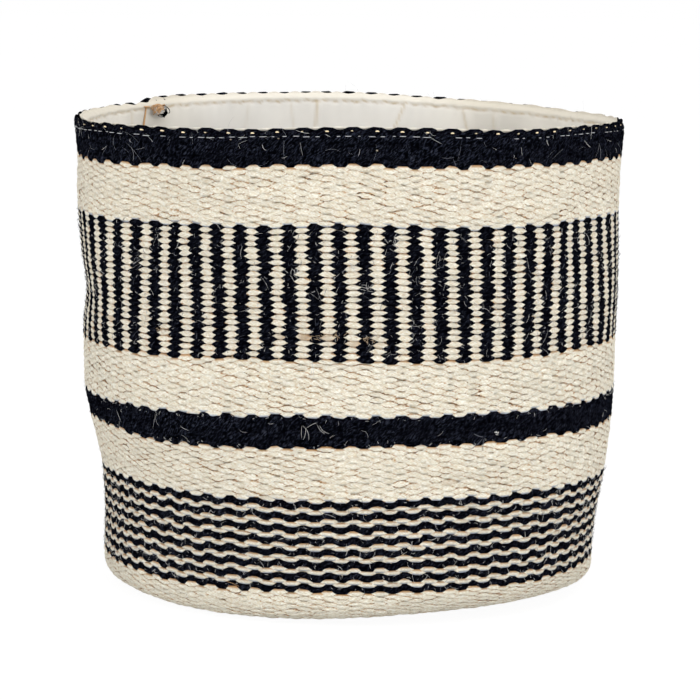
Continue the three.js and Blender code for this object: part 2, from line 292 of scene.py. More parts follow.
def tubes(name, rings, closed, maps=None):
    """One mesh of many tubes. rings has the shape (tubes, steps, sides, 3), in metres.

    maps gives each UV map by its name, with a value at each (tube, step, side), one side more and,
    where the tubes are closed, one step more.
    """
    count, steps, sides, _ = rings.shape
    spans = steps if closed else steps - 1
    start = (np.arange(count) * steps * sides)[:, None, None]
    here = (np.arange(spans) * sides)[None, :, None]
    there = (((np.arange(spans) + 1) % steps) * sides)[None, :, None]
    side = np.arange(sides)
    following = (side + 1) % sides
    quads = np.stack(
        [
            start + here + side,
            start + there + side,
            start + there + following,
            start + here + following,
        ],
        axis=-1,
    ).reshape(-1, 4)
    loops = quads.ravel()
    totals = np.full(len(quads), 4)
    if not closed:
        first = start[:, 0] + side[::-1]
        last = start[:, 0] + (steps - 1) * sides + side
        loops = np.concatenate([loops, first.ravel(), last.ravel()])
        totals = np.concatenate([totals, np.full(2 * count, sides)])
    mesh = bpy.data.meshes.new(name)
    mesh.vertices.add(count * steps * sides)
    write_places(mesh, rings)
    mesh.loops.add(len(loops))
    mesh.loops.foreach_set("vertex_index", loops.astype(np.int32))
    mesh.polygons.add(len(totals))
    starts = np.concatenate([[0], np.cumsum(totals)[:-1]])
    mesh.polygons.foreach_set("loop_start", starts.astype(np.int32))
    mesh.update(calc_edges=True)
    mesh.polygons.foreach_set("use_smooth", np.ones(len(totals), bool))
    for map_name, grid in (maps or {}).items():
        corners = np.stack(
            [grid[:, :-1, :-1], grid[:, 1:, :-1], grid[:, 1:, 1:], grid[:, :-1, 1:]],
            axis=3,
        ).reshape(-1, 2)
        if not closed:
            ends = np.concatenate([grid[:, 0, :-1][:, ::-1], grid[:, -1, :-1]], axis=0)
            corners = np.concatenate([corners, ends.reshape(-1, 2)])
        add_map(mesh, map_name, corners)
    return mesh


def strand_rings(paths, radius, sides):
    """Rings round open paths of the shape (strands, steps, 3), in metres, thinner at the tips."""
    steps = paths.shape[1]
    along = np.gradient(paths, axis=1)
    along /= np.linalg.norm(along, axis=2, keepdims=True) + 1e-12
    outward = paths * np.array([1, 1, 0])
    outward /= np.linalg.norm(outward, axis=2, keepdims=True) + 1e-12
    sideways = np.cross(along, outward)
    sideways /= np.linalg.norm(sideways, axis=2, keepdims=True) + 1e-12
    normal = np.cross(sideways, along)
    taper = np.sin(np.linspace(0.12, math.pi - 0.12, steps)) ** 0.35
    turn = np.arange(sides) * 2 * math.pi / sides
    size = np.asarray(radius).reshape(-1, 1, 1, 1) * taper[None, :, None, None]
    return (
        paths[:, :, None]
        + size * np.cos(turn)[None, None, :, None] * normal[:, :, None]
        - size * np.sin(turn)[None, None, :, None] * sideways[:, :, None]
    )


def strands(name, paths, radius, sides, material_name, slot, nodes=()):
    """A piece of thin tubes along open paths."""
    piece = link(name, tubes(name, strand_rings(paths, radius, sides), False))
    show(piece, material_name, slot, *nodes)


def show(piece, material_name, slot, *nodes):
    """Give a piece its material and its body, and hide the nodes that it stands for. The slot is
    not used.
    """
    piece.data.materials.append(materials()[material_name])
    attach(piece, "root")
    if nodes:
        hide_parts(*nodes)


# ---------------------------------------------------------------------------
# Shader groups and materials
# ---------------------------------------------------------------------------
def set_inputs(target, **values):
    """Set a node's inputs, named with _ for each space."""
    for label, value in values.items():
        target.inputs[label.replace("_", " ")].default_value = value


def new_group(name, inputs, outputs):
    group = bpy.data.node_groups.new(name, "ShaderNodeTree")
    for label, kind, value in inputs:
        socket = group.interface.new_socket(label, in_out="INPUT", socket_type=kind)
        socket.default_value = value
    for label, kind in outputs:
        group.interface.new_socket(label, in_out="OUTPUT", socket_type=kind)
    start = group.nodes.new("NodeGroupInput")
    end = group.nodes.new("NodeGroupOutput")
    return group, start, end


def node(tree, kind, **settings):
    made = tree.nodes.new(kind)
    for key, value in settings.items():
        setattr(made, key, value)
    return made


def math_node(tree, operation, first, second):
    made = node(tree, "ShaderNodeMath", operation=operation)
    for socket, value in zip(made.inputs, (first, second)):
        if isinstance(value, (int, float)):
            socket.default_value = value
        else:
            tree.links.new(value, socket)
    return made.outputs[0]


def mix_colour(tree, factor, first, second, blend="MIX"):
    made = node(tree, "ShaderNodeMix", data_type="RGBA", blend_type=blend)
    # A colour mix has its factor at input 0, its colours at 6 and 7, and its result at output 2
    for socket, value in zip((made.inputs[0], made.inputs[6], made.inputs[7]),
                             (factor, first, second)):
        if isinstance(value, (int, float)):
            socket.default_value = value
        elif isinstance(value, tuple):
            socket.default_value = (*value, 1.0)
        else:
            tree.links.new(value, socket)
    return made.outputs[2]


def tint(tree, base, mask, share, shade):
    """Lay a shade over the base by a mask and a share of it."""
    return mix_colour(tree, math_node(tree, "MULTIPLY", mask, share), base, shade)


def map_range(tree, value, low, high, to_low=0.0, to_high=1.0):
    made = node(tree, "ShaderNodeMapRange", clamp=True)
    set_inputs(made, From_Min=low, From_Max=high, To_Min=to_low, To_Max=to_high)
    tree.links.new(value, made.inputs["Value"])
    return made.outputs[0]


def add_bump(tree, shader, height, strength, distance):
    bump = node(tree, "ShaderNodeBump")
    set_inputs(bump, Strength=strength, Distance=distance)
    tree.links.new(height, bump.inputs["Height"])
    tree.links.new(bump.outputs[0], shader.inputs["Normal"])


def fibre_group():
    """Fibres along a yarn, laid at the slant of its twist, and finer loose ones across them.

    The vector is metres along and around the yarn. Everything put out is a mask from 0 to 1.
    """
    group, start, end = new_group(
        "Yarn fibres",
        [
            ("Vector", "NodeSocketVector", (0, 0, 0)),
            ("Slant", "NodeSocketFloat", 0.35),
            ("Length", "NodeSocketFloat", 0.006),
            ("Width", "NodeSocketFloat", 0.0004),
        ],
        [(label, "NodeSocketFloat") for label in ("Streak", "Fine", "Cross", "Speck")],
    )
    links = group.links
    parts = node(group, "ShaderNodeSeparateXYZ")
    links.new(start.outputs["Vector"], parts.inputs[0])

    def layer(turn, detail, stretch, shift):
        """Noise drawn out along a slant of so many parts of the group's own."""
        slant = math_node(group, "MULTIPLY", start.outputs["Slant"], turn)
        lean = math_node(group, "MULTIPLY", parts.outputs[0], slant)
        across = math_node(group, "DIVIDE", math_node(group, "ADD", parts.outputs[1], lean),
                           start.outputs["Width"])
        along = math_node(group, "DIVIDE", parts.outputs[0], start.outputs["Length"])
        place = node(group, "ShaderNodeCombineXYZ")
        links.new(math_node(group, "MULTIPLY", along, stretch), place.inputs[0])
        links.new(math_node(group, "ADD", math_node(group, "MULTIPLY", across, stretch), shift),
                  place.inputs[1])
        noise = node(group, "ShaderNodeTexNoise", noise_dimensions="2D")
        set_inputs(noise, Scale=1.0, Detail=detail)
        links.new(place.outputs[0], noise.inputs["Vector"])
        return noise.outputs[0]

    # Each mask: its turn, detail, stretch and shift, and where in the noise it starts and ends
    for label, turn, detail, stretch, shift, low, high in (
            ("Streak", 1.0, 1.5, 1.0, 0.0, 0.34, 0.66),
            ("Fine", 1.4, 2.0, 2.4, 3.0, 0.34, 0.66),
            ("Cross", -0.5, 1.0, 1.6, 7.0, 0.36, 0.64),
            ("Speck", 0.2, 1.0, 1.1, 11.0, 0.66, 0.76)):
        links.new(map_range(group, layer(turn, detail, stretch, shift), low, high),
                  end.inputs[label])
    return group


def material(name):
    made = bpy.data.materials.new(name)
    made.use_nodes = True
    return made.node_tree, made.node_tree.nodes["Principled BSDF"]


def use_group(tree, group, **values):
    """Place a group on the yarns' own map."""
    made = node(tree, "ShaderNodeGroup")
    made.node_tree = group
    tree.links.new(uv_vector(tree, "Yarn"), made.inputs["Vector"])
    set_inputs(made, **values)
    return made


def attribute(tree, name):
    return node(tree, "ShaderNodeAttribute", attribute_name=name).outputs["Fac"]


def uv_vector(tree, name):
    return node(tree, "ShaderNodeUVMap", uv_map=name).outputs[0]


def noise_on_object(tree, scale, detail):
    noise = node(tree, "ShaderNodeTexNoise")
    set_inputs(noise, Scale=scale, Detail=detail)
    tree.links.new(node(tree, "ShaderNodeTexCoord").outputs["Object"], noise.inputs["Vector"])
    return noise.outputs[0]


def colour(name):
    return tuple(getattr(bpy.context.scene.basket_colours, name))


def darker(shade, share):
    return tuple(part * share for part in shade)


def natural_yarn(fibres):
    """Undyed jute and wool: cream, with painted tan shade between the floats and a few brown slubs.
    """
    tree, shader = material("Natural yarn")
    strand = use_group(tree, fibres, Slant=0.75, Length=0.0034, Width=0.00078).outputs
    fibre, tan = colour("natural_fibre"), colour("natural_shade_and_speck")
    base = mix_colour(tree, map_range(tree, attribute(tree, "tone"), -1.0, 1.0),
                      colour("natural_warm"), colour("natural_light"))
    base = tint(tree, base, strand["Fine"], 0.75, colour("natural_pale"))
    base = tint(tree, base, math_node(tree, "POWER", strand["Streak"], 1.7), 0.46, fibre)
    base = tint(tree, base, math_node(tree, "POWER", strand["Cross"], 1.8), 0.50, fibre)
    base = tint(tree, base, attribute(tree, "slub"), 0.9, colour("slub"))
    # Painted shade: tan lines where the floats meet, in the gaps where shade falls, of uneven
    # strength, darkest in a few short lengths
    uneven = math_node(tree, "ADD", math_node(tree, "MULTIPLY", strand["Cross"], 0.9),
                       attribute(tree, "gap"))
    ragged = math_node(tree, "MULTIPLY", strand["Fine"], 0.32)
    sunk = math_node(tree, "ADD", attribute(tree, "sunk"), 0.12)
    sunk = math_node(tree, "SUBTRACT", sunk, ragged)
    base = tint(tree, base, map_range(tree, sunk, 0.84, 1.06),
                map_range(tree, uneven, 0.50, 1.25, 0.15, 1.0), tan)
    base = tint(tree, base, map_range(tree, sunk, 0.90, 1.10),
                map_range(tree, uneven, 1.30, 1.6), colour("natural_deep_shade"))
    base = tint(tree, base, strand["Speck"], 0.30, tan)
    # Where black yarn lies over the float, its upper edge is tan, painted shadow of the black yarn;
    # where black lies under it, its lower edge is blue-grey
    fringe = attribute(tree, "fringe")
    base = mix_colour(tree, map_range(tree, fringe, 0.20, 0.85, 0.0, 0.85), base, tan)
    base = mix_colour(tree, map_range(tree, fringe, -0.25, -0.90, 0.0, 0.80), base,
                      colour("natural_dusk"))
    tree.links.new(base, shader.inputs["Base Color"])
    set_inputs(shader, Roughness=0.95, Specular_IOR_Level=0.08, Sheen_Weight=0.06,
               Sheen_Roughness=0.6)
    height = math_node(tree, "SUBTRACT", strand["Fine"], strand["Streak"])
    add_bump(tree, shader, height, 1.0, 0.0007)


def black_yarn(fibres):
    """Blue-black dyed yarn, with painted grey highlights slanting along its fibres."""
    tree, shader = material("Black yarn")
    strand = use_group(tree, fibres, Slant=-0.85, Length=0.0027, Width=0.00072).outputs
    # Painted highlights: grey streaks at the slant of the fibres, fewer where the tone is low
    streak = map_range(tree, strand["Streak"], 0.50, 1.0)
    streak = math_node(tree, "MULTIPLY", streak,
                       map_range(tree, attribute(tree, "tone"), -0.6, 0.9, 0.45, 1.0))
    base = mix_colour(tree, streak, colour("black"), colour("black_highlight"))
    base = tint(tree, base, streak, map_range(tree, strand["Fine"], 0.6, 1.0),
                colour("black_fibre_highlight"))
    tree.links.new(base, shader.inputs["Base Color"])
    set_inputs(shader, Roughness=0.85, Specular_IOR_Level=0.0)
    add_bump(tree, shader, strand["Streak"], 0.8, 0.0005)


def cotton_cord(fibres):
    """Twisted cotton warp."""
    tree, shader = material("Cotton warp")
    strand = use_group(tree, fibres, Slant=0.9, Length=0.004, Width=0.0006).outputs
    pale = colour("warp")
    base = mix_colour(tree, map_range(tree, strand["Streak"], 0.35, 0.7), pale, darker(pale, 0.6))
    tree.links.new(base, shader.inputs["Base Color"])
    set_inputs(shader, Roughness=0.9, Specular_IOR_Level=0.1)


def thread(name, shade, sheen):
    """Sewing thread, with a fine twist."""
    tree, shader = material(name)
    twist = noise_on_object(tree, 2500.0, 2.0)
    base = mix_colour(tree, map_range(tree, twist, 0.4, 0.6), darker(shade, 0.65), shade)
    tree.links.new(base, shader.inputs["Base Color"])
    set_inputs(shader, Roughness=0.6, Sheen_Weight=sheen)


def lining_cloth():
    """Thin off-white cotton: a fine plain weave, a faint mottling, a yellower hem, painted shade at
    its sides and painted shadow on its pleats.
    """
    tree, shader = material("Lining cotton")
    cloth = uv_vector(tree, "Cloth")
    lines = []
    for direction in ("X", "Y"):
        wave = node(tree, "ShaderNodeTexWave", wave_type="BANDS", bands_direction=direction)
        set_inputs(wave, Scale=900.0, Distortion=0.6, Detail=1.0)
        tree.links.new(cloth, wave.inputs["Vector"])
        lines.append(wave.outputs["Fac"])
    cross = math_node(tree, "MULTIPLY", *lines)
    cotton, hem = colour("lining"), colour("hem")
    mottle = map_range(tree, noise_on_object(tree, 22.0, 3.0), 0.40, 0.75)
    base = mix_colour(tree, mottle, cotton, darker(cotton, 0.80))
    base = tint(tree, base, cross, 0.06, hem)
    base = mix_colour(tree, attribute(tree, "hem"), base, hem)
    # Painted shade: the lining is darker and yellower at its left and right sides, where less light
    # reaches it
    base = mix_colour(tree, attribute(tree, "aged"), base, colour("aged"), "MULTIPLY")
    # Tan where the stitches pull the hem, and painted shadow on the shadowed side of each pleat
    base = mix_colour(tree, attribute(tree, "crease"), base, colour("crease"))
    tree.links.new(base, shader.inputs["Base Color"])
    set_inputs(shader, Roughness=0.85, Specular_IOR_Level=0.15, Sheen_Weight=0.08)
    add_bump(tree, shader, cross, 0.25, 0.0002)


def materials():
    """The basket's materials by name, made once."""
    if "Natural yarn" not in bpy.data.materials:
        fibres = fibre_group()
        natural_yarn(fibres)
        black_yarn(fibres)
        cotton_cord(fibres)
        lining_cloth()
        thread("Tan thread", colour("tan_thread"), 0.1)
        thread("Grey thread", colour("grey_thread"), 0.1)
        thread("Pale fibre", colour("pale_fibre"), 0.0)
        thread("Dark fibre", colour("dark_fibre"), 0.0)
        thread("Slub fibre", colour("slub"), 0.0)
    return bpy.data.materials


# ---------------------------------------------------------------------------
# Settings
# ---------------------------------------------------------------------------
def colour_property(name, description, default):
    return FloatVectorProperty(name=name, description=description, default=default,
                               subtype="COLOR", size=3, min=0.0, max=1.0)


class BasketSizes(bpy.types.PropertyGroup):
    """Sizes of the yarns."""

    warps: IntProperty(name="Warps", description="Upright warps round the basket", default=132,
                       min=24)
    yarn_depth: FloatProperty(name="Yarn depth", description="Half thickness of a weft yarn",
                              default=0.95 * MM, unit="LENGTH")
    stitch_pitch: FloatProperty(name="Stitch length", description="Repeat of the rim's stitches",
                                default=5.3 * MM, unit="LENGTH")
    fibre_count: IntProperty(name="Loose fibres", description="Stray fibres on the yarns",
                             default=1500, min=0)


class BasketColours(bpy.types.PropertyGroup):
    """Colours of the yarns, the cloth and the threads."""

    natural_light: colour_property("Natural, light", "Crest of the undyed yarn",
                                   (0.885, 0.870, 0.75))
    natural_warm: colour_property("Natural, warm", "Warmer lengths of the undyed yarn",
                                  (0.735, 0.705, 0.595))
    natural_pale: colour_property("Natural, pale", "Palest fibres of the undyed yarn",
                                  (1.0, 0.985, 0.92))
    natural_fibre: colour_property("Natural, fibre", "Darker fibres of the undyed yarn",
                                   (0.62, 0.50, 0.30))
    # Painted shade where the floats meet and beside black yarn, also the tan of the yarn's specks
    natural_shade_and_speck: colour_property("Natural, sunk", "Undyed yarn where its floats meet",
                                    (0.47, 0.24, 0.08))
    # Painted shade in the deepest gaps between the floats
    natural_deep_shade: colour_property("Natural, deep", "Darkest gaps between the undyed floats",
                                  (0.07, 0.035, 0.015))
    # A blue-grey tint on the lower edge of an undyed float where black yarn lies under it
    natural_dusk: colour_property("Natural, dusk", "Blue-grey dust of dye over the black yarns",
                                  (0.23, 0.30, 0.42))
    slub: colour_property("Slub", "Brown lengths of the undyed yarn", (0.52, 0.38, 0.24))
    black: colour_property("Black", "Dyed yarn", (0.0003, 0.0003, 0.0008))
    # Painted highlights on the dyed yarn's fibres
    black_highlight: colour_property("Black, light", "Light fibres of the dyed yarn",
                                 (0.0105, 0.0125, 0.021))
    # Painted highlights on the dyed yarn's fibres, greyer
    black_fibre_highlight: colour_property("Black, fibre", "Grey fibres of the dyed yarn",
                                 (0.036, 0.039, 0.050))
    warp: colour_property("Warp", "Cotton warp", (0.74, 0.60, 0.40))
    lining: colour_property("Lining", "Cotton lining", (0.715, 0.695, 0.655))
    hem: colour_property("Hem", "Doubled cloth at the hem", (0.61, 0.575, 0.505))
    # Painted shade at the lining's sides
    aged: colour_property("Aged", "Tint of the lining at the sides", (0.88, 0.865, 0.83))
    # Also the painted shadow on the pleats' shadowed sides
    crease: colour_property("Crease", "Folded and stitched creases", (0.48, 0.38, 0.24))
    tan_thread: colour_property("Tan thread", "Seam thread and knot", (0.50, 0.29, 0.13))
    grey_thread: colour_property("Grey thread", "Stitches at the rim", (0.36, 0.36, 0.38))
    pale_fibre: colour_property("Pale fibre", "Loose pale fibres", (0.60, 0.59, 0.57))
    dark_fibre: colour_property("Dark fibre", "Loose dark fibres", (0.05, 0.055, 0.075))


# ---------------------------------------------------------------------------
# Weft
# ---------------------------------------------------------------------------
FOOT_START = -4.1
# Bands from the foot up: name, colours of the picks that repeat, number of picks, top height, and
# half height of the yarns of each colour, in spacings of the picks
BANDS = [
    ("foot", "n", 14, 17.0, {"n": 1.14}),
    ("lines", "bbnn", 30, 61.8, {"b": 1.22, "n": 0.92}),
    ("lower", "n", 18, 87.3, {"n": 1.14}),
    ("waist", "b", 10, 101.9, {"b": 1.30}),
    ("middle", "n", 18, 129.3, {"n": 1.14}),
    ("stripes", "bn", 43, 193.3, {"b": 1.20, "n": 1.07}),
    ("upper", "n", 19, 221.7, {"n": 1.14}),
    ("rim", "b", 12, 240.0, {"b": 1.30}),
]
# The last picks bow down over the warps' ends and leave these in sight: which one from the top,
# distance below the rim, half height, bow
LAST_PICKS = [(1, 0.98, 0.98, 1.5), (2, 2.55, 1.38, 0), (3, 3.85, 1.62, 0)]

WEFTS = [
    ("weft_foot", "foot", "n", ["foot_band"]),
    ("weft_lines_black", "lines", "b", [f"black_line_{i}" for i in range(1, 9)]),
    ("weft_lines_natural", "lines", "n", [f"natural_line_{i}" for i in range(1, 8)]),
    ("weft_lower", "lower", "n", ["lower_band"]),
    ("weft_waist", "waist", "b", ["waist_band"]),
    ("weft_middle", "middle", "n", ["middle_band"]),
    ("weft_stripes_black", "stripes", "b", ["black_stripes"]),
    ("weft_stripes_natural", "stripes", "n", ["natural_stripes"]),
    ("weft_upper", "upper", "n", ["upper_band"]),
    ("weft_rim", "rim", "b", ["rim_band"]),
]

# Where a pick has its rings, in warp spacings from the middle of a float. The float faces out
# from -0.5 to 0.5, and the rest passes behind the next warp.
FLOAT_STEPS = np.array([-0.74, -0.54, -0.34, -0.12, 0.12, 0.34, 0.54, 0.74, 1.0])
SLOPE_END = 0.74
# At these distances from the middle of a float: how far out the yarn lies, how much of its half
# height and of its thickness it has, and the share of it left in sight
AWAY = np.array([0.0, 0.12, 0.34, 0.54, 0.74, 1.0])
RISE = np.array([0.33, 0.31, 0.145, -0.025, -0.20, -2.4])
FILL = np.array([1.0, 1.0, 1.0, 1.0, 0.90, 0.55])
THICK = np.array([1.0, 1.0, 1.0, 1.0, 0.94, 0.60])
SEEN = np.array([1.0, 0.98, 0.78, 0.44, 0.14, 0.0])
SECTION = np.radians([0, 36, 68, 120, 240, 292, 324])  # angles of the points of a ring
CREST = 1.35  # depth of the middle of the cloth, from the outside of the tube
STRIPE_RELIEF = 0.055  # how far the black stripes lie out and the natural ones in
STRIPE_FAT = 0.96  # least fatness of a black float in the stripes
YARN_GIRTH = 0.007  # metres of the fibres' map round a yarn
FLOOR_GAP = 0.00002  # metres from the floor to the lowest yarn

# Random spread of the floats: along the pick in warps, up, slant, out and fatness. fall is how
# far each one drops to the right, and cover how much of its half height the next picks leave.
Spread = namedtuple("Spread", "slide up slant fall out fat cover")
MIXED = Spread(0.07, 0.11, 0.14, 0.20, 0.06, 0.08, 1.09)
PLAIN = Spread(0.09, 0.13, 0.20, 0.16, 0.08, 0.09, 1.16)
# The foot's tone is painted light: it lightens the foot against the shade where the cloth turns
# under near the floor.
TONES = {"stripes": -1.2, "foot": 0.9, "upper": -0.5, "lines": -0.4}  # from 1 light to -1 warm

# Brown lengths of natural yarn: angle, reach round the wall, height, strength
SLUBS = [
    (math.radians(260), 0.14, 139.5, 0.9),
    (math.radians(272), 0.12, 138.0, 0.8),
    (math.radians(210), 0.10, 142.0, 0.8),
]
SLUB_CHANCE, SLUB_STRENGTH = 0.16, 0.35  # of the faint ones placed at random

# place and half are up the cloth, and over and under say whether black lies there
Pick = namedtuple("Pick", "band kind parity place half bow over under")


def pick_table():
    """Every pick from the foot up."""
    picks = []
    bottom = FOOT_START
    for band, colours, count, top, fullness in BANDS:
        spacing = (top - bottom) / count
        for number in range(count):
            kind = colours[number % len(colours)]
            place = bottom + (number + 0.5) * spacing
            picks.append([band, kind, place, fullness[kind] * spacing, 0.0])
        bottom = top
    for back, below_top, half, bow in LAST_PICKS:
        picks[-back][2:] = RIM_TOP - below_top, half, bow
    # The lowest pick of the stripes is black and floats over the even warps.
    first = next(i for i, pick in enumerate(picks) if pick[0] == "stripes")
    table = []
    for i, (band, kind, place, half, bow) in enumerate(picks):
        fringed = kind == "n" and band != "stripes"
        over, under = (fringed and any(pick[1] == "b" for pick in near)
                       for near in (picks[i + 1:i + 3], picks[max(i - 2, 0):i]))
        table.append(Pick(band, kind, (i - first) % 2, place, half, bow, over, under))
    return table


def weave(name, picks, rng):
    """A mesh of closed picks. Each swings out over its warps and in behind the others."""
    sizes = bpy.context.scene.basket_sizes
    floats = sizes.warps // 2
    pitch = 2 * math.pi / sizes.warps
    yarn = sizes.yarn_depth / MM
    steps = len(FLOAT_STEPS)
    count = len(picks)
    band, kind = picks[0].band, picks[0].kind
    spread = MIXED if band in ("stripes", "lines") else PLAIN
    parity, place, half, bow, over, under = (
        np.array([getattr(pick, key) for pick in picks])
        for key in ("parity", "place", "half", "bow", "over", "under")
    )

    def per_float(size):
        """A random value for each float, halfway to the next one where the yarn lies behind."""
        value = rng.normal(0, size, (count, floats, 1))
        grid = np.repeat(value, steps, axis=2)
        grid[..., -1:] = (value + np.roll(value, -1, axis=1)) / 2
        return grid.reshape(count, floats * steps)

    def drifting(reach, size):
        """A random value that drifts along each yarn over some floats."""
        raw = rng.normal(0, size, (count, floats))
        bell = np.hanning(reach + 2)[1:-1]
        bell /= np.sqrt((bell ** 2).sum())
        ring = np.concatenate([raw[:, -reach:], raw], axis=1)
        value = np.stack([np.convolve(row, bell, "valid")[-floats:] for row in ring])
        return np.repeat(value[..., None], steps, axis=2).reshape(count, floats * steps)

    t = (2 * np.arange(floats)[:, None] + FLOAT_STEPS[None, :]).ravel()
    away = np.abs(np.mod(t + 1, 2) - 1)
    slide = np.repeat(rng.normal(0, spread.slide, (count, floats, 1)), steps, axis=2)
    slide[..., -1:] = 0
    angle = STRIPE_START + (t[None, :] + parity[:, None] + slide.reshape(count, -1)) * pitch
    along = place[:, None] + 0 * angle
    along = along + wobble(angle, along) + seam_step(angle, along)
    along = along + per_float(spread.up)
    # Each float falls a little to the right, as its yarn's twist turns it.
    sideways = np.clip(t - np.round(t / 2) * 2, -SLOPE_END, SLOPE_END)[None, :]
    along = along + sideways * (per_float(spread.slant) - spread.fall)
    along = along - bow[:, None] * ramp(away, 0.35, 1.0)[None, :]
    rise = np.interp(away, AWAY, RISE)[None, :] + per_float(spread.out)
    if band == "stripes":
        rise = rise + (STRIPE_RELIEF if kind == "b" else -STRIPE_RELIEF)
    fat = 1 + drifting(7, 0.05) + per_float(spread.fat)
    if band == "stripes" and kind == "b":
        fat = np.maximum(fat, STRIPE_FAT)
    tall = half[:, None] * np.interp(away, AWAY, FILL)[None, :] * fat
    thick = yarn * np.interp(away, AWAY, THICK)[None, :] * (0.7 + 0.3 * fat)
    thick = thick * np.minimum(1.0, half[:, None] / 1.2)
    across = tall[..., None] * np.sin(SECTION)
    depth = (CREST - rise)[..., None] - thick[..., None] * np.cos(SECTION)
    points = stand(angle[..., None], along[..., None] + across, depth)
    points[..., 2] = np.maximum(points[..., 2], FLOOR_GAP)
    mesh = tubes(name, points, True, yarn_maps(count, floats * steps, rng))

    # Each float's tone; at the foot the band's share of it is painted light
    tone = np.clip(per_float(0.34) + drifting(9, 0.40) + TONES.get(band, 0.0), -1, 1)
    # How near each place is to the line where the next floats cover this one: 1 on that line, where
    # the natural yarn has its painted shade
    seen = np.interp(away, AWAY, SEEN)[None, :] * half[:, None] / spread.cover
    sunk = np.abs(across) / np.maximum(seen, 0.12)[..., None]
    sunk = np.where(np.cos(SECTION) < 0, 2.0, np.clip(sunk, 0, 2.0))
    # The fringe: which edge lies beside a black pick, for the painted shadow of the black yarn
    # above and the blue-grey tint beside the black below
    signed = np.sign(np.sin(SECTION)) * np.minimum(sunk, 1.2)
    signed = signed * (1 - ramp(away, 0.30, 0.58))[None, :, None]
    beside = np.where(signed > 0, over[:, None, None], under[:, None, None])
    add_value(mesh, "fringe", signed * beside)
    add_value(mesh, "sunk", np.clip(sunk + per_float(0.10)[..., None], 0, 2))
    # Strength of the painted shade lines between the floats, for each float
    gap = np.clip((-0.25 if band == "lines" else 0.5) + per_float(0.33), -0.6, 1.2)
    slub = slub_lengths(angle, place, SLUBS if kind == "n" else (), rng)
    for label, values in (("tone", tone), ("gap", gap), ("slub", slub)):
        add_value(mesh, label, np.repeat(values[..., None], len(SECTION), axis=2))
    return link(name, mesh)


def yarn_maps(count, steps, rng):
    """A tidy map for baking, and metres along and round each yarn for its fibres."""
    ring = np.linspace(0, 1, steps + 1)[None, :, None]
    side = np.linspace(0, 1, len(SECTION) + 1)[None, None, :]
    tidy = np.empty((count, steps + 1, len(SECTION) + 1, 2))
    tidy[..., 0] = ring
    tidy[..., 1] = (np.arange(count)[:, None, None] + 0.06 + 0.88 * side) / count
    metres = np.empty_like(tidy)
    offsets = rng.uniform(0, 5, count)[:, None, None]
    metres[..., 0] = ring * 2 * math.pi * TUBE_RADIUS * MM + offsets
    metres[..., 1] = side * YARN_GIRTH + offsets * 0.37
    return {"OFBake": tidy, "Yarn": metres}


def slub_lengths(angle, place, named, rng):
    """Strength of the brown at each place: the named slubs, and faint ones at random."""
    slub = np.zeros(angle.shape)
    for middle, reach, height, strength in named:
        closest = np.argmin(np.abs(place - height))
        if abs(place[closest] - height) < 3:
            near = np.abs(apart(angle[closest], middle))
            slub[closest] = np.maximum(slub[closest],
                                       strength * (1 - ramp(near, reach / 2, reach)))
    slub = slub * (0.75 + 0.25 * np.sin(angle * 90))
    for pick in range(len(place)):
        if rng.random() < SLUB_CHANCE:
            middle, reach = rng.uniform(0, 2 * math.pi), rng.uniform(0.03, 0.12)
            near = np.abs(apart(angle[pick], middle))
            slub[pick] = np.maximum(slub[pick],
                                    SLUB_STRENGTH * (1 - ramp(near, reach / 2, reach)))
    return slub


class BASKET_OT_weft(bpy.types.Operator):
    """Weave every pick of black and undyed yarn round the warps"""

    bl_idname = "basket.weft"
    bl_label = "Weave the weft"

    def execute(self, context):
        deselect()
        rng = np.random.default_rng(11)
        table = pick_table()
        for name, band, kind, nodes in WEFTS:
            piece = weave(name, [p for p in table if (p.band, p.kind) == (band, kind)], rng)
            if kind == "b":
                show(piece, "Black yarn", "black_yarn", *nodes)
            else:
                show(piece, "Natural yarn", "natural_yarn", *nodes)
        return {"FINISHED"}


# ---------------------------------------------------------------------------
# Warps
# ---------------------------------------------------------------------------
class BASKET_OT_warps(bpy.types.Operator):
    """Stand the cotton warps inside the weave"""

    bl_idname = "basket.warps"
    bl_label = "Stand the warps"

    RADIUS = 0.7
    DEPTH = 2.95

    def execute(self, context):
        deselect()
        warps = context.scene.basket_sizes.warps
        along = np.concatenate([np.linspace(FOOT_START + 1, 12, 5), np.linspace(24, 237, 18)])
        section = np.radians(np.arange(0, 360, 60))
        angle = STRIPE_START + np.arange(warps) * 2 * math.pi / warps
        points = stand(
            angle[:, None, None] + self.RADIUS * np.sin(section) / TUBE_RADIUS,
            along[None, :, None],
            self.DEPTH - self.RADIUS * np.cos(section)[None, None, :],
        )[:, :, ::-1]
        grid = np.empty((warps, len(along), len(section) + 1, 2))
        grid[..., 0] = along[None, :, None] * MM
        grid[..., 1] = np.linspace(0, 0.005, len(section) + 1) + angle[:, None, None]
        tidy = np.empty_like(grid)
        tidy[..., 0] = np.linspace(0, 1, len(along))[None, :, None]
        tidy[..., 1] = (np.arange(warps)[:, None, None]
                        + np.linspace(0.05, 0.95, len(section) + 1)) / warps
        piece = link("warps", tubes("warps", points, False, {"OFBake": tidy, "Yarn": grid}))
        show(piece, "Cotton warp", "cotton_warp", *[f"warp_panel_{i}" for i in range(1, 16)])
        return {"FINISHED"}


# ---------------------------------------------------------------------------
# Lining
# ---------------------------------------------------------------------------
LINING_FOOT = -1.0
LINING_DEPTH = 5.0
HEM_STITCH = RIM_TOP - 4.3
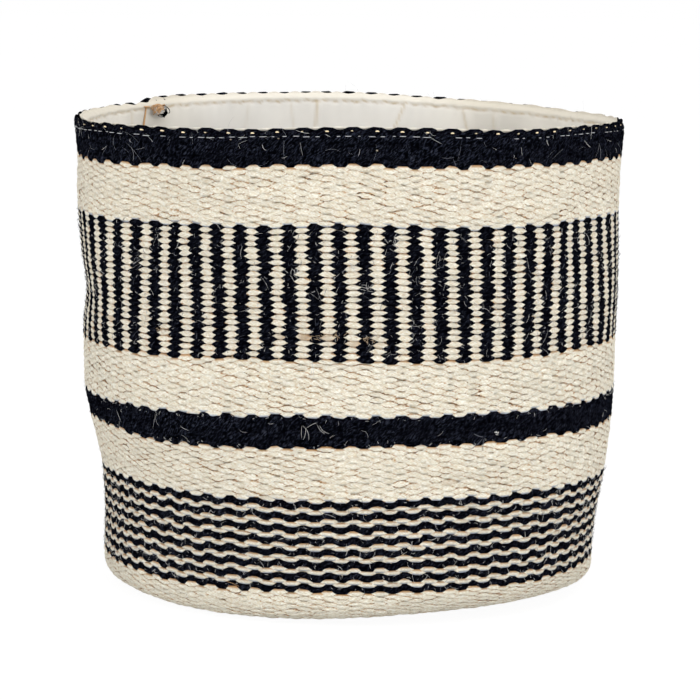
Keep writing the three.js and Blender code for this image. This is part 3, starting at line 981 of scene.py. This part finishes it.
# Pleats in the lining: angle at the top and the foot, distance below the rim of both, and height
PLEATS = [
    (99.7, 100.3, 5.0, 26.0, 1.0),
    (77.7, 81.4, 5.0, 24.0, 1.0),
    (63.0, 60.0, 6.0, 26.0, 0.8),
    (55.5, 54.0, 7.0, 24.0, 0.5),
    (106.5, 105.0, 6.0, 30.0, 0.35),
    (118.0, 120.0, 6.0, 40.0, 0.25),
    (153.5, 154.0, 5.0, 28.0, 0.5),
    (190.0, 187.0, 4.0, 38.0, 0.8),
    (214.0, 216.0, 5.0, 60.0, 0.6),
    (243.0, 241.0, 4.0, 30.0, 0.8),
    (271.0, 274.0, 5.0, 45.0, 0.7),
    (297.0, 296.0, 4.0, 32.0, 0.9),
    (322.0, 326.0, 4.0, 52.0, 0.6),
    (10.0, 8.0, 4.0, 36.0, 0.8),
]
FLOOR_REACH = TUBE_RADIUS - 9.4  # radius of the lining's floor
FLOOR_TOP = 5.7
FLOOR_SQUASH = -0.02
FLOOR_LEVEL = 5.8  # height on the wall whose stray the floor and the base follow


class BASKET_OT_lining(bpy.types.Operator):
    """Hang the cotton lining inside the wall and lay its round floor"""

    bl_idname = "basket.lining"
    bl_label = "Line the basket"

    GRID = (640, 64)
    CROWDING = 1.9  # how much closer the rows lie near the top, where the hem shows

    def execute(self, context):
        deselect()
        self.wall()
        self.floor()
        return {"FINISHED"}

    def wall(self):
        """A tube of cloth from the floor to the rim, as a grid whose ends are merged."""
        around, rows = self.GRID
        bpy.ops.mesh.primitive_grid_add(x_subdivisions=around, y_subdivisions=rows, size=2,
                                        calc_uvs=False)
        piece = bpy.context.object
        piece.name = piece.data.name = "lining"
        mesh = piece.data
        share = (read_places(mesh)[:, :2] + 1) / 2
        angle = SEAM_ANGLE + share[:, 0] * 2 * math.pi
        top = self.edge(angle)
        along = top - (top - LINING_FOOT) * (1 - share[:, 1]) ** self.CROWDING
        rim = RIM_TOP + 0 * angle
        along = along + ramp(along, 215.0, 235.0) * (wobble(angle, rim) + seam_step(angle, rim))
        depth = LINING_DEPTH + self.folds(angle, along)
        write_places(mesh, stand(angle, along, depth))
        corner = read_corners(mesh)
        cloth = np.stack([angle * LINING_RADIUS * MM, along * MM], 1)
        add_map(mesh, "OFBake", share[corner])
        add_map(mesh, "Cloth", cloth[corner])
        above = along - self.stitch_line(angle)
        add_value(mesh, "hem", (0.4 + 0.6 * ramp(above, 0.6, 2.2)) * ramp(above, 0.0, 0.6))
        add_value(mesh, "crease", self.creases(angle, along))
        # Painted shade at the lining's left and right sides
        add_value(mesh, "aged", ramp(np.cos(angle), 0.2, 0.5) + ramp(-np.cos(angle), 0.6, 0.8))
        deselect()
        piece.select_set(True)
        bpy.context.view_layer.objects.active = piece
        bpy.ops.object.mode_set(mode="EDIT")
        bpy.ops.mesh.select_all(action="SELECT")
        bpy.ops.mesh.remove_doubles(threshold=0.00002)
        bpy.ops.mesh.normals_make_consistent(inside=True)
        bpy.ops.object.mode_set(mode="OBJECT")
        thicken(piece, 0.4, 0)
        bpy.ops.object.shade_smooth()
        show(piece, "Lining cotton", "lining_cotton", "lining_wall")

    @staticmethod
    def edge(angle):
        """Height of the lining's edge, which the last pick pushes down at each warp it crosses.

        At the sides it stands higher and covers that pick from within.
        """
        warps = bpy.context.scene.basket_sizes.warps
        pushed = 0.5 - 0.5 * np.cos((angle - STRIPE_START) * warps / 2)
        turn = np.mod(np.degrees(angle), 360)
        covered = 0
        for start, end, soft_start, soft_end in ((-8, 63, 3, 2), (157, 200, 2, 3)):
            covered = covered + (1 / (1 + np.exp((start - turn) / soft_start))
                                 / (1 + np.exp((turn - end) / soft_end)))
        return (RIM_TOP - 1.05 * pushed + 0.1 * np.sin(angle * 19)
                + covered * (0.35 + 0.95 * pushed + 0.3 * np.sin(angle * 41)))

    @staticmethod
    def stitch_line(angle):
        """Height of the stitches under the hem."""
        return HEM_STITCH + 0.26 * np.sin(angle * 71) + 0.18 * np.sin(angle * 127 + 1)

    @staticmethod
    def beside(angle, along, pleat):
        """How far a place is from a pleat's line round the wall, and how near its span."""
        high, low, start, end, _ = pleat
        down = RIM_TOP - along
        line = math.radians(high) + math.radians(low - high) * ramp(down, start, end)
        fade = ramp(down, start - 1.5, start) * (1 - ramp(down, end, end + 6))
        return apart(angle, line) * LINING_RADIUS, fade

    def folds(self, angle, along):
        """Depth of the hem's doubled cloth, its puckers and the lining's loose folds."""
        above = along - self.stitch_line(angle)
        pucker = 0.38 * np.sin(angle * 83 + 2 * np.sin(angle * 11)) * np.sin(angle * 31 + 1.0)
        pucker = pucker * np.exp(-np.abs(above) / 3.5)
        line = -0.6 * np.exp(-(above / 0.6) ** 2)
        hem = 0.45 * ramp(above, -0.2, 0.2)
        lip = ramp(along, RIM_TOP - 3.2, RIM_TOP - 0.4)
        lip = -2.9 * lip * lip * (3 - 2 * lip)
        loose = np.maximum(ripple(LINING_WAVES, angle, along), -0.3) * ramp(-above, 0.0, 16.0)
        depth = hem + pucker + line + lip + loose + 0.55
        for pleat in PLEATS:
            away, fade = self.beside(angle, along, pleat)
            ridge = np.exp(-((away + 1.3) / 1.5) ** 2) - 0.3 * np.exp(-((away - 0.9) / 1.1) ** 2)
            depth = depth + pleat[4] * ridge * fade
        return depth

    def creases(self, angle, along):
        """Where the stitches pull the hem, and the shadowed side of each pleat."""
        pulled = np.clip(0.65 + 0.4 * np.sin(angle * 145) + 0.25 * np.sin(angle * 37), 0, 1)
        crease = 0.85 * pulled * np.exp(-((along - self.stitch_line(angle)) / 0.5) ** 2)
        for pleat in PLEATS:
            away, fade = self.beside(angle, along, pleat)
            crease = np.maximum(crease, pleat[4] * 0.6 * np.exp(-(away / 0.7) ** 2) * fade)
        return np.clip(crease, 0, 1)

    def floor(self):
        """A disc of cloth that lies on the base."""
        bpy.ops.mesh.primitive_circle_add(vertices=96, radius=1, fill_type="TRIFAN")
        piece = bpy.context.object
        piece.name = piece.data.name = "lining_floor"
        bpy.ops.object.mode_set(mode="EDIT")
        bpy.ops.mesh.select_all(action="SELECT")
        bpy.ops.mesh.subdivide(number_cuts=5)
        bpy.ops.object.mode_set(mode="OBJECT")
        mesh = piece.data
        x, y, _ = read_places(mesh).T
        radius, angle = np.hypot(x, y), np.arctan2(y, x)
        spread = radius * FLOOR_REACH * (1 + FLOOR_SQUASH * np.cos(2 * (angle - OVAL_ANGLE)))
        height = FLOOR_TOP + 0.25 * np.sin(5 * angle + 4 * radius) * radius * (1 - radius)
        height = height + look_up(UP_FIELD, angle, FLOOR_LEVEL + 0 * angle) * radius ** 6
        points = np.stack([spread * np.cos(angle), spread * np.sin(angle), height], 1) * MM
        write_places(mesh, points)
        add_map(mesh, "Cloth", points[read_corners(mesh), :2])
        for label in ("hem", "crease", "aged"):
            add_value(mesh, label, np.zeros(len(x)))
        thicken(piece, 0.45, -1)
        bpy.ops.object.shade_smooth_by_angle(angle=math.radians(40))
        show(piece, "Lining cotton", "lining_cotton", "lining_base")


# ---------------------------------------------------------------------------
# Rim, seam, base
# ---------------------------------------------------------------------------
class BASKET_OT_rim(bpy.types.Operator):
    """Sew the stitches under the edge and set the warp ends that show in it"""

    bl_idname = "basket.rim"
    bl_label = "Finish the rim"

    def execute(self, context):
        deselect()
        self.stitches(context.scene.basket_sizes)
        self.warp_ends(context.scene.basket_sizes)
        return {"FINISHED"}

    @staticmethod
    def stitches(sizes):
        """A line of running stitches below the edge, some of them short."""
        count = round(2 * math.pi * TUBE_RADIUS / (sizes.stitch_pitch / MM))
        rng = np.random.default_rng(5)
        start = np.arange(count) * 2 * math.pi / count
        step = 2 * math.pi / count
        t = np.linspace(0, 1, 6)
        reach = np.where(rng.random(count) < 0.25, rng.uniform(0.3, 0.55, count),
                         rng.uniform(0.65, 0.9, count))[:, None]
        angle = start[:, None] + step * (0.5 + reach * (t[None, :] - 0.5))
        angle = angle + rng.normal(0, 0.05 * step, (count, 1))
        along = RIM_TOP - 4.4 + rng.normal(0, 0.12, (count, 1)) + 0.25 * np.sin(start * 9)[:, None]
        dive = 0.55 * (2 * t[None, :] - 1) ** 4 + np.abs(rng.normal(0, 0.30, (count, 1)))
        # On the right many stitches are pulled into the yarn
        pulled = np.where(rng.random(count) < 0.4, 0.6, 0.06) * ramp(np.cos(start), 0.0, 1 / 3)
        paths = stand(angle, along, dive + pulled[:, None] - 0.12)
        strands("rim_stitches", paths, 0.155 * MM, 6, "Grey thread", "tan_thread")

    @staticmethod
    def warp_ends(sizes):
        """The warps' ends, which show between the floats of the last pick."""
        angle = STRIPE_START + (2 * np.arange(sizes.warps // 2) + 1) * 2 * math.pi / sizes.warps
        rng = np.random.default_rng(8)
        small = rng.random(len(angle)) < 0.35
        size = np.where(small, 0.5, rng.uniform(0.7, 1.0, len(angle)))
        t = np.linspace(-1, 1, 5)[None, :]
        around = angle[:, None] + t * size[:, None] * 0.95 / TUBE_RADIUS
        along = RIM_TOP - 2.0 + rng.normal(0, 0.1, (len(angle), 1)) - 0.25 * t ** 2
        along = along + wobble(around, along) + seam_step(around, along)
        # At the left and right they sink into the edge
        sunk = 0.6 * ramp(np.abs(np.cos(angle)), 0.85, 0.95)[:, None]
        paths = stand(around, along, 0.35 + sunk + 0.5 * t ** 2)
        radius = np.where(small, 0.22, 0.38) * MM
        strands("rim_warp_ends", paths, radius, 6, "Cotton warp", "cotton_warp")


THREAD_ANGLE = SEAM_ANGLE - math.radians(3.0)
THREAD_TOP = RIM_TOP - 3.4
KNOT_ANGLE = SEAM_ANGLE - math.radians(7.8)
# Strands of the knot: piece, count, middle to the left and up, half width and height, radius,
# material, slot, nodes
KNOT = [
    ("seam_knot_yarn", 10, -3.0, 0.4, 3.6, 2.5, 0.30, "Tan thread", "tan_thread", ["seam_knot"]),
    ("seam_knot_loops", 7, -2.0, -0.2, 5.4, 3.0, 0.18, "Pale fibre", "tan_thread", []),
    ("seam_knot_black", 5, 1.4, -0.6, 2.0, 2.6, 0.32, "Black yarn", "black_yarn", []),
]


class BASKET_OT_seam(bpy.types.Operator):
    """Sew the side seam and tie its ends"""

    bl_idname = "basket.seam"
    bl_label = "Sew the side seam"

    def execute(self, context):
        deselect()
        along = np.linspace(14, RIM_TOP - 3.2, 90)
        slant = np.clip((THREAD_TOP - along) / 14.0, 0, 1.4)
        angle = THREAD_ANGLE - 0.018 + 0.041 * slant + 0.004 * np.sin(along / 9.0)
        path = stand(angle, along, 6.1)[None]
        strands("seam_thread", path, 0.95 * MM, 6, "Tan thread", "tan_thread", ["lining_seam"])
        t = np.linspace(-0.7, 1, 12)
        bar = stand(THREAD_ANGLE - 0.018 + 0.022 * t, THREAD_TOP + 0.3 * t, 6.2 + 0.3 * t ** 2)
        strands("seam_bar", bar[None], 0.5 * MM, 6, "Tan thread", "tan_thread")
        self.knot()
        return {"FINISHED"}

    @staticmethod
    def knot():
        """A tangle of brown yarn with black ends, tied through the lining."""
        rng = np.random.default_rng(34)
        t = np.linspace(0, 1, 40)
        for name, count, aside, up, wide, tall, radius, material_name, slot, nodes in KNOT:
            paths = []
            for strand in range(count):
                turn = rng.uniform(1.5, 2.5) * 2 * math.pi * t + rng.uniform(0, 6)
                swell = rng.uniform(0.5, 1.1) * (0.6 + 0.4 * np.sin(3.1 * t * math.pi + strand))
                x = aside + rng.normal(0, 0.5) + wide * swell * np.cos(turn)
                y = up + rng.normal(0, 0.4) + tall * swell * np.sin(turn + 0.5 * strand)
                z = 6.5 + 1.9 * (1 + np.sin(1.3 * turn + strand))
                paths.append(stand(KNOT_ANGLE - x / LINING_RADIUS, RIM_TOP - 5.4 + y, z))
            strands(name, np.array(paths), radius * MM, 6, material_name, slot, nodes)


class BASKET_OT_base(bpy.types.Operator):
    """Lay the round base of the same cloth, its weave on the underside"""

    bl_idname = "basket.base"
    bl_label = "Lay the base"

    REACH = 116.5
    TOP = 4.6
    PICK, WARP = 2.4, 6.1  # repeat of the weave
    RINGS = (0.92, 0.9, 0.85, 0.6)  # how much smaller each ring of the upper face is

    def execute(self, context):
        deselect()
        bpy.ops.mesh.primitive_grid_add(x_subdivisions=150, y_subdivisions=300, size=2,
                                        calc_uvs=False)
        piece = context.object
        piece.name = piece.data.name = "base_cloth"
        bpy.ops.object.mode_set(mode="EDIT")
        bpy.ops.mesh.select_all(action="SELECT")
        bpy.ops.mesh.flip_normals()
        bpy.ops.mesh.select_all(action="DESELECT")
        bpy.ops.mesh.select_non_manifold()
        bpy.ops.mesh.extrude_edges_move(TRANSFORM_OT_translate={"value": (0, 0, 1)})
        for shrink in self.RINGS:
            bpy.ops.mesh.extrude_edges_move()
            bpy.ops.transform.resize(value=(shrink, shrink, 1), center_override=(0, 0, 1))
        bpy.ops.mesh.edge_face_add()
        bpy.ops.object.mode_set(mode="OBJECT")
        mesh = piece.data
        square = read_places(mesh)
        x = square[:, 0] * np.sqrt(1 - square[:, 1] ** 2 / 2) * self.REACH
        y = square[:, 1] * np.sqrt(1 - square[:, 0] ** 2 / 2) * self.REACH
        edge = np.hypot(x, y) / self.REACH
        relief = self.relief(x, y)
        upper = square[:, 2] > 0.5
        lift = look_up(UP_FIELD, np.arctan2(y, x), np.where(upper, FLOOR_LEVEL, 0.0)) * edge ** 6
        under = 0.35 + 0.9 * (1 - relief) + 1.2 * edge ** 16
        points = np.stack([x, y, lift + np.where(upper, self.TOP, under)], 1) * MM
        write_places(mesh, points)
        # The bake has the underside on the left of its map and the upper face on the right
        corner = read_corners(mesh)
        tidy = (square[corner, :2] + 1) / 2 * 0.48
        tidy[upper[corner], 0] += 0.5
        add_map(mesh, "OFBake", tidy)
        add_map(mesh, "Yarn", points[corner, :2])
        # Painted shade in tan where the base's weave dips
        add_value(mesh, "sunk", 1.12 - 0.9 * relief)
        add_value(mesh, "gap", np.full(len(x), 0.5))
        add_value(mesh, "tone", 0.5 * np.sin(np.floor(y / self.PICK) * 2.3))
        for label in ("fringe", "slub"):
            add_value(mesh, label, np.zeros(len(x)))
        bpy.ops.object.shade_smooth_by_angle(angle=math.radians(60))
        show(piece, "Natural yarn", "natural_yarn", "base_panel")
        return {"FINISHED"}

    def relief(self, x, y):
        """Height of the weave from 0, where a yarn dives, to 1 on the crest of a float."""
        row = np.floor(y / self.PICK)
        across = np.abs(2 * (y / self.PICK - row) - 1)
        over = 0.5 + 0.5 * np.cos(math.pi * (x / self.WARP + row))
        return np.sqrt(1 - across ** 2) * (0.35 + 0.65 * over ** 0.7)


# ---------------------------------------------------------------------------
# Loose fibres
# ---------------------------------------------------------------------------
# Each piece: share of the fibre count, which is 1500 by default, material, slot, lengths,
# thickness, and the heights it is scattered over, each with a weight. The tufts are laid between
# the two groups.
FIBRES_ON_BLACK = [
    ("fibres_pale", 1 / 2, "Pale fibre", "natural_yarn", (2.0, 8.0), 1.2,
     [(224.0, 235.0, 0.06), (88.5, 101.0, 0.08), (130.0, 192.0, 0.82), (236.0, 239.5, 0.04)]),
    ("fibres_lines", 1 / 3, "Pale fibre", "natural_yarn", (2.5, 6.5), 1.6,
     [(18.0, 61.0, 1.0)]),
    ("fibres_rim", 130 / 1500, "Grey thread", "natural_yarn", (4.0, 12.0), 0.6,
     [(221.0, 237.0, 1.0)]),
    ("fibres_dark", 3 / 4, "Dark fibre", "black_yarn", (1.5, 4.5), 2.2,
     [(18.0, 61.0, 0.4), (130.0, 192.0, 0.6)]),
]
FIBRES_ON_NATURAL = [
    ("fibres_natural", 1 / 5, "Pale fibre", "natural_yarn", (1.0, 3.5), 1.0,
     [(64.0, 87.0, 0.25), (103.0, 128.0, 0.25), (195.0, 221.0, 0.25), (3.0, 17.0, 0.25)]),
    ("fibres_short", 3, "Pale fibre", "natural_yarn", (0.8, 2.4), 1.5,
     [(130.0, 192.0, 0.45), (18.0, 61.0, 0.45), (86.0, 89.0, 0.05), (100.0, 103.0, 0.05)]),
]
FIBRE_RADII, RADIUS_CHANCES = [0.03, 0.045, 0.07], [0.5, 0.4, 0.1]

# Tufts: angle, height, fibres, spread and length, heading in degrees from the right, radius
TUFTS = [
    ("tufts_pale", "Pale fibre", "natural_yarn", [
        (259.2, 170.5, 9, 1.0, 3.5, 60, 0.08),
        (271.4, 173.0, 8, 0.8, 3.5, 70, 0.08),
        (274.7, 163.0, 8, 0.8, 3.5, 80, 0.08),
        (281.0, 186.0, 9, 1.6, 3.5, 0, 0.09),
        (263.0, 129.0, 2, 0.5, 7.0, 290, 0.10),
        (261.8, 97.5, 3, 1.0, 7.0, 300, 0.07),
        (264.5, 99.0, 3, 1.0, 6.0, 250, 0.07),
        (305.4, 92.0, 6, 0.4, 1.0, 0, 0.16),
        (250.0, 56.0, 6, 1.5, 3.0, 40, 0.08),
        (284.0, 38.0, 6, 1.5, 3.0, 100, 0.08),
    ]),
    ("tufts_slub", "Slub fibre", "natural_yarn", [
        (261.5, 141.0, 16, 3.0, 2.4, 0, 0.09),
        (266.5, 141.5, 16, 3.0, 2.4, 0, 0.09),
        (275.5, 140.0, 16, 3.5, 2.4, 0, 0.09),
        (227.0, 141.5, 10, 2.0, 2.4, 0, 0.09),
    ]),
    ("tufts_red", "Tan thread", "tan_thread", [(242.0, 20.3, 1, 0.0, 9.0, -8, 0.10)]),
    ("yarn_tail", "Dark fibre", "black_yarn", [(302.8, 89.5, 3, 0.5, 7.0, 275, 0.20)]),
]


def lay_fibres(name, angle, along, length, heading, curl, lift, radius, material_name, slot):
    """Single bent fibres that rise a little out of the weave."""
    t = np.linspace(0, 1, 7)
    bend = heading[:, None] + curl[:, None] * t
    step = length[:, None] / (len(t) - 1)
    start = np.zeros((len(length), 1))
    across = np.concatenate([start, np.cumsum(np.cos(bend)[:, 1:] * step, 1)], axis=1)
    up = np.concatenate([start, np.cumsum(np.sin(bend)[:, 1:] * step, 1)], axis=1)
    depth = 0.5 - (0.5 + lift[:, None]) * np.sin(t * 2.2)
    paths = stand(angle[:, None] + across / TUBE_RADIUS, along[:, None] + up, depth)
    strands(name, paths, radius * MM, 3, material_name, slot)


class BASKET_OT_fibres(bpy.types.Operator):
    """Scatter loose fibres over the yarns"""

    bl_idname = "basket.fibres"
    bl_label = "Loosen some fibres"

    def execute(self, context):
        deselect()
        rng = np.random.default_rng(21)
        for row in FIBRES_ON_BLACK:
            self.scatter(rng, *row)
        for row in TUFTS:
            self.tufts(rng, *row)
        for row in FIBRES_ON_NATURAL:
            self.scatter(rng, *row)
        return {"FINISHED"}

    @staticmethod
    def scatter(rng, name, share, material_name, slot, lengths, thick, zones):
        """Fibres at random over the heights of the zones."""
        count = round(bpy.context.scene.basket_sizes.fibre_count * share)
        lows, highs, weights = np.array(zones).T
        zone = rng.choice(len(zones), count, p=weights / weights.sum())
        along = rng.uniform(lows[zone], highs[zone])
        angle = rng.uniform(0, 2 * math.pi, count)
        length = rng.uniform(*lengths, count) * rng.uniform(0.5, 1.3, count)
        heading = rng.choice([0.5, 1.5], count) * math.pi + rng.normal(0, 0.8, count)
        curl = rng.normal(0, 1.0, count)
        lift = rng.uniform(0.1, 0.7, count)
        radius = rng.choice(FIBRE_RADII, count, p=RADIUS_CHANCES) * thick
        lay_fibres(name, angle, along, length, heading, curl, lift, radius, material_name, slot)

    @staticmethod
    def tufts(rng, name, material_name, slot, rows):
        """Fibres that stand out singly, most of them pulled up in small tufts."""
        columns = []
        for degrees, height, count, spread, length, heading, radius in rows:
            columns.append(np.stack([
                math.radians(degrees) + rng.normal(0, spread / TUBE_RADIUS, count),
                height + rng.normal(0, 0.5, count),
                length * rng.uniform(0.7, 1.3, count),
                math.radians(heading) + rng.normal(0, 0.15 if count < 3 else 1.0, count),
                rng.normal(0, 0.6, count),
                rng.uniform(0.4, 0.9, count),
                np.full(count, radius),
            ]))
        lay_fibres(name, *np.concatenate(columns, axis=1), material_name, slot)


# ---------------------------------------------------------------------------
# Stage
# ---------------------------------------------------------------------------
# Area lamps: name, place and size in metres, power in watts
LAMPS = [
    ("key", (0.15, -1.3, 1.9), 0.8, 9.0),
    ("left", (-1.5, -0.7, 0.4), 1.1, 18.5),
    ("right", (1.5, -0.7, 0.4), 1.1, 16.0),
    ("low", (0.1, -1.7, 0.06), 0.9, 25.0),
    ("top", (0.7, 0.1, 1.7), 1.0, 8.0),
]
LAMP_AIM = Vector((0, 0, 0.12))
CAMERA_PLACE = (-0.0023, -1.954, 0.3827)
CAMERA_TILT = math.radians(90 - 7.70)
CAMERA_ROLL = -0.009
CAMERA_LENS = 197.6
WHITE = (1, 1, 1, 1)


def straight_rays(tree):
    """1 for rays from the camera, a gloss or glass, and 0 for those that light the basket."""
    path = node(tree, "ShaderNodeLightPath")
    seen = math_node(tree, "MAXIMUM", path.outputs["Is Camera Ray"],
                     path.outputs["Is Glossy Ray"])
    return math_node(tree, "MAXIMUM", seen, path.outputs["Is Transmission Ray"])


def swap_shader(tree, factor, first, second, end):
    """Show the first shader, and the second by the factor."""
    mix = node(tree, "ShaderNodeMixShader")
    for source, socket in zip((factor, first.outputs[0], second.outputs[0]), mix.inputs):
        tree.links.new(source, socket)
    tree.links.new(mix.outputs[0], tree.nodes[end].inputs["Surface"])


class BASKET_OT_stage(bpy.types.Operator):
    """Set the floor, the lights and the camera"""

    bl_idname = "basket.stage"
    bl_label = "Set the stage"

    def execute(self, context):
        deselect()
        self.ground()
        self.sky(context.scene)
        for row in LAMPS:
            self.lamp(*row)
        self.camera(context.scene)
        context.scene.view_settings.view_transform = "Standard"
        return {"FINISHED"}

    @staticmethod
    def ground():
        """A floor that takes light and shade, but looks almost as white as the sky."""
        bpy.ops.mesh.primitive_plane_add(size=12, location=(0, 0, 0))
        floor = bpy.context.object
        floor.name = floor.data.name = "floor"
        tree, shader = material("Pale floor")
        set_inputs(shader, Base_Color=(0.94, 0.94, 0.94, 1), Roughness=0.9,
                   Specular_IOR_Level=0.1)
        glow = node(tree, "ShaderNodeEmission")
        set_inputs(glow, Strength=1.02)
        factor = math_node(tree, "MULTIPLY", straight_rays(tree), 0.93)
        swap_shader(tree, factor, shader, glow, "Material Output")
        floor.data.materials.append(bpy.data.materials["Pale floor"])

    @staticmethod
    def sky(scene):
        """White all round, a little dimmer as light than as it looks."""
        scene.world = bpy.data.worlds.new("Studio")
        scene.world.use_nodes = True
        tree = scene.world.node_tree
        light = tree.nodes["Background"]
        set_inputs(light, Color=WHITE, Strength=0.80)
        backdrop = node(tree, "ShaderNodeBackground")
        set_inputs(backdrop, Color=WHITE, Strength=1.0)
        swap_shader(tree, straight_rays(tree), light, backdrop, "World Output")

    @staticmethod
    def lamp(name, place, size, power):
        data = bpy.data.lights.new(name, "AREA")
        data.size = size
        data.energy = power
        lamp = link(name, data)
        lamp.location = place
        aim = LAMP_AIM - Vector(place)
        lamp.rotation_euler = aim.to_track_quat("-Z", "Y").to_euler()

    @staticmethod
    def camera(scene):
        camera = bpy.data.cameras.new("Camera")
        camera.lens = CAMERA_LENS
        camera.sensor_width = 36
        camera.clip_end = 50
        scene.camera = link("Camera", camera)
        scene.camera.location = CAMERA_PLACE
        scene.camera.rotation_euler = Euler((CAMERA_TILT, CAMERA_ROLL, 0), "XYZ")


class BASKET_PT_panel(bpy.types.Panel):
    """The basket's steps and settings"""

    bl_label = "Basket"
    bl_space_type = "VIEW_3D"
    bl_region_type = "UI"
    bl_category = "Basket"

    def draw(self, context):
        for name in ("basket_sizes", "basket_colours"):
            group = getattr(context.scene, name)
            for key in group.__annotations__:
                self.layout.prop(group, key)
        for step in STEPS:
            self.layout.operator(step.bl_idname)


STEPS = (BASKET_OT_stage, BASKET_OT_weft, BASKET_OT_warps, BASKET_OT_base, BASKET_OT_lining,
         BASKET_OT_rim, BASKET_OT_seam, BASKET_OT_fibres)
CLASSES = (BasketSizes, BasketColours, *STEPS, BASKET_PT_panel)


def register():
    for item in CLASSES:
        bpy.utils.register_class(item)
    bpy.types.Scene.basket_sizes = PointerProperty(type=BasketSizes)
    bpy.types.Scene.basket_colours = PointerProperty(type=BasketColours)


def unregister():
    del bpy.types.Scene.basket_colours
    del bpy.types.Scene.basket_sizes
    for item in reversed(CLASSES):
        bpy.utils.unregister_class(item)


def main():
    register()
    for step in STEPS:
        group, name = step.bl_idname.split(".")
        getattr(getattr(bpy.ops, group), name)()
    bpy.context.view_layer.update()


if __name__ == "__main__":
    main()
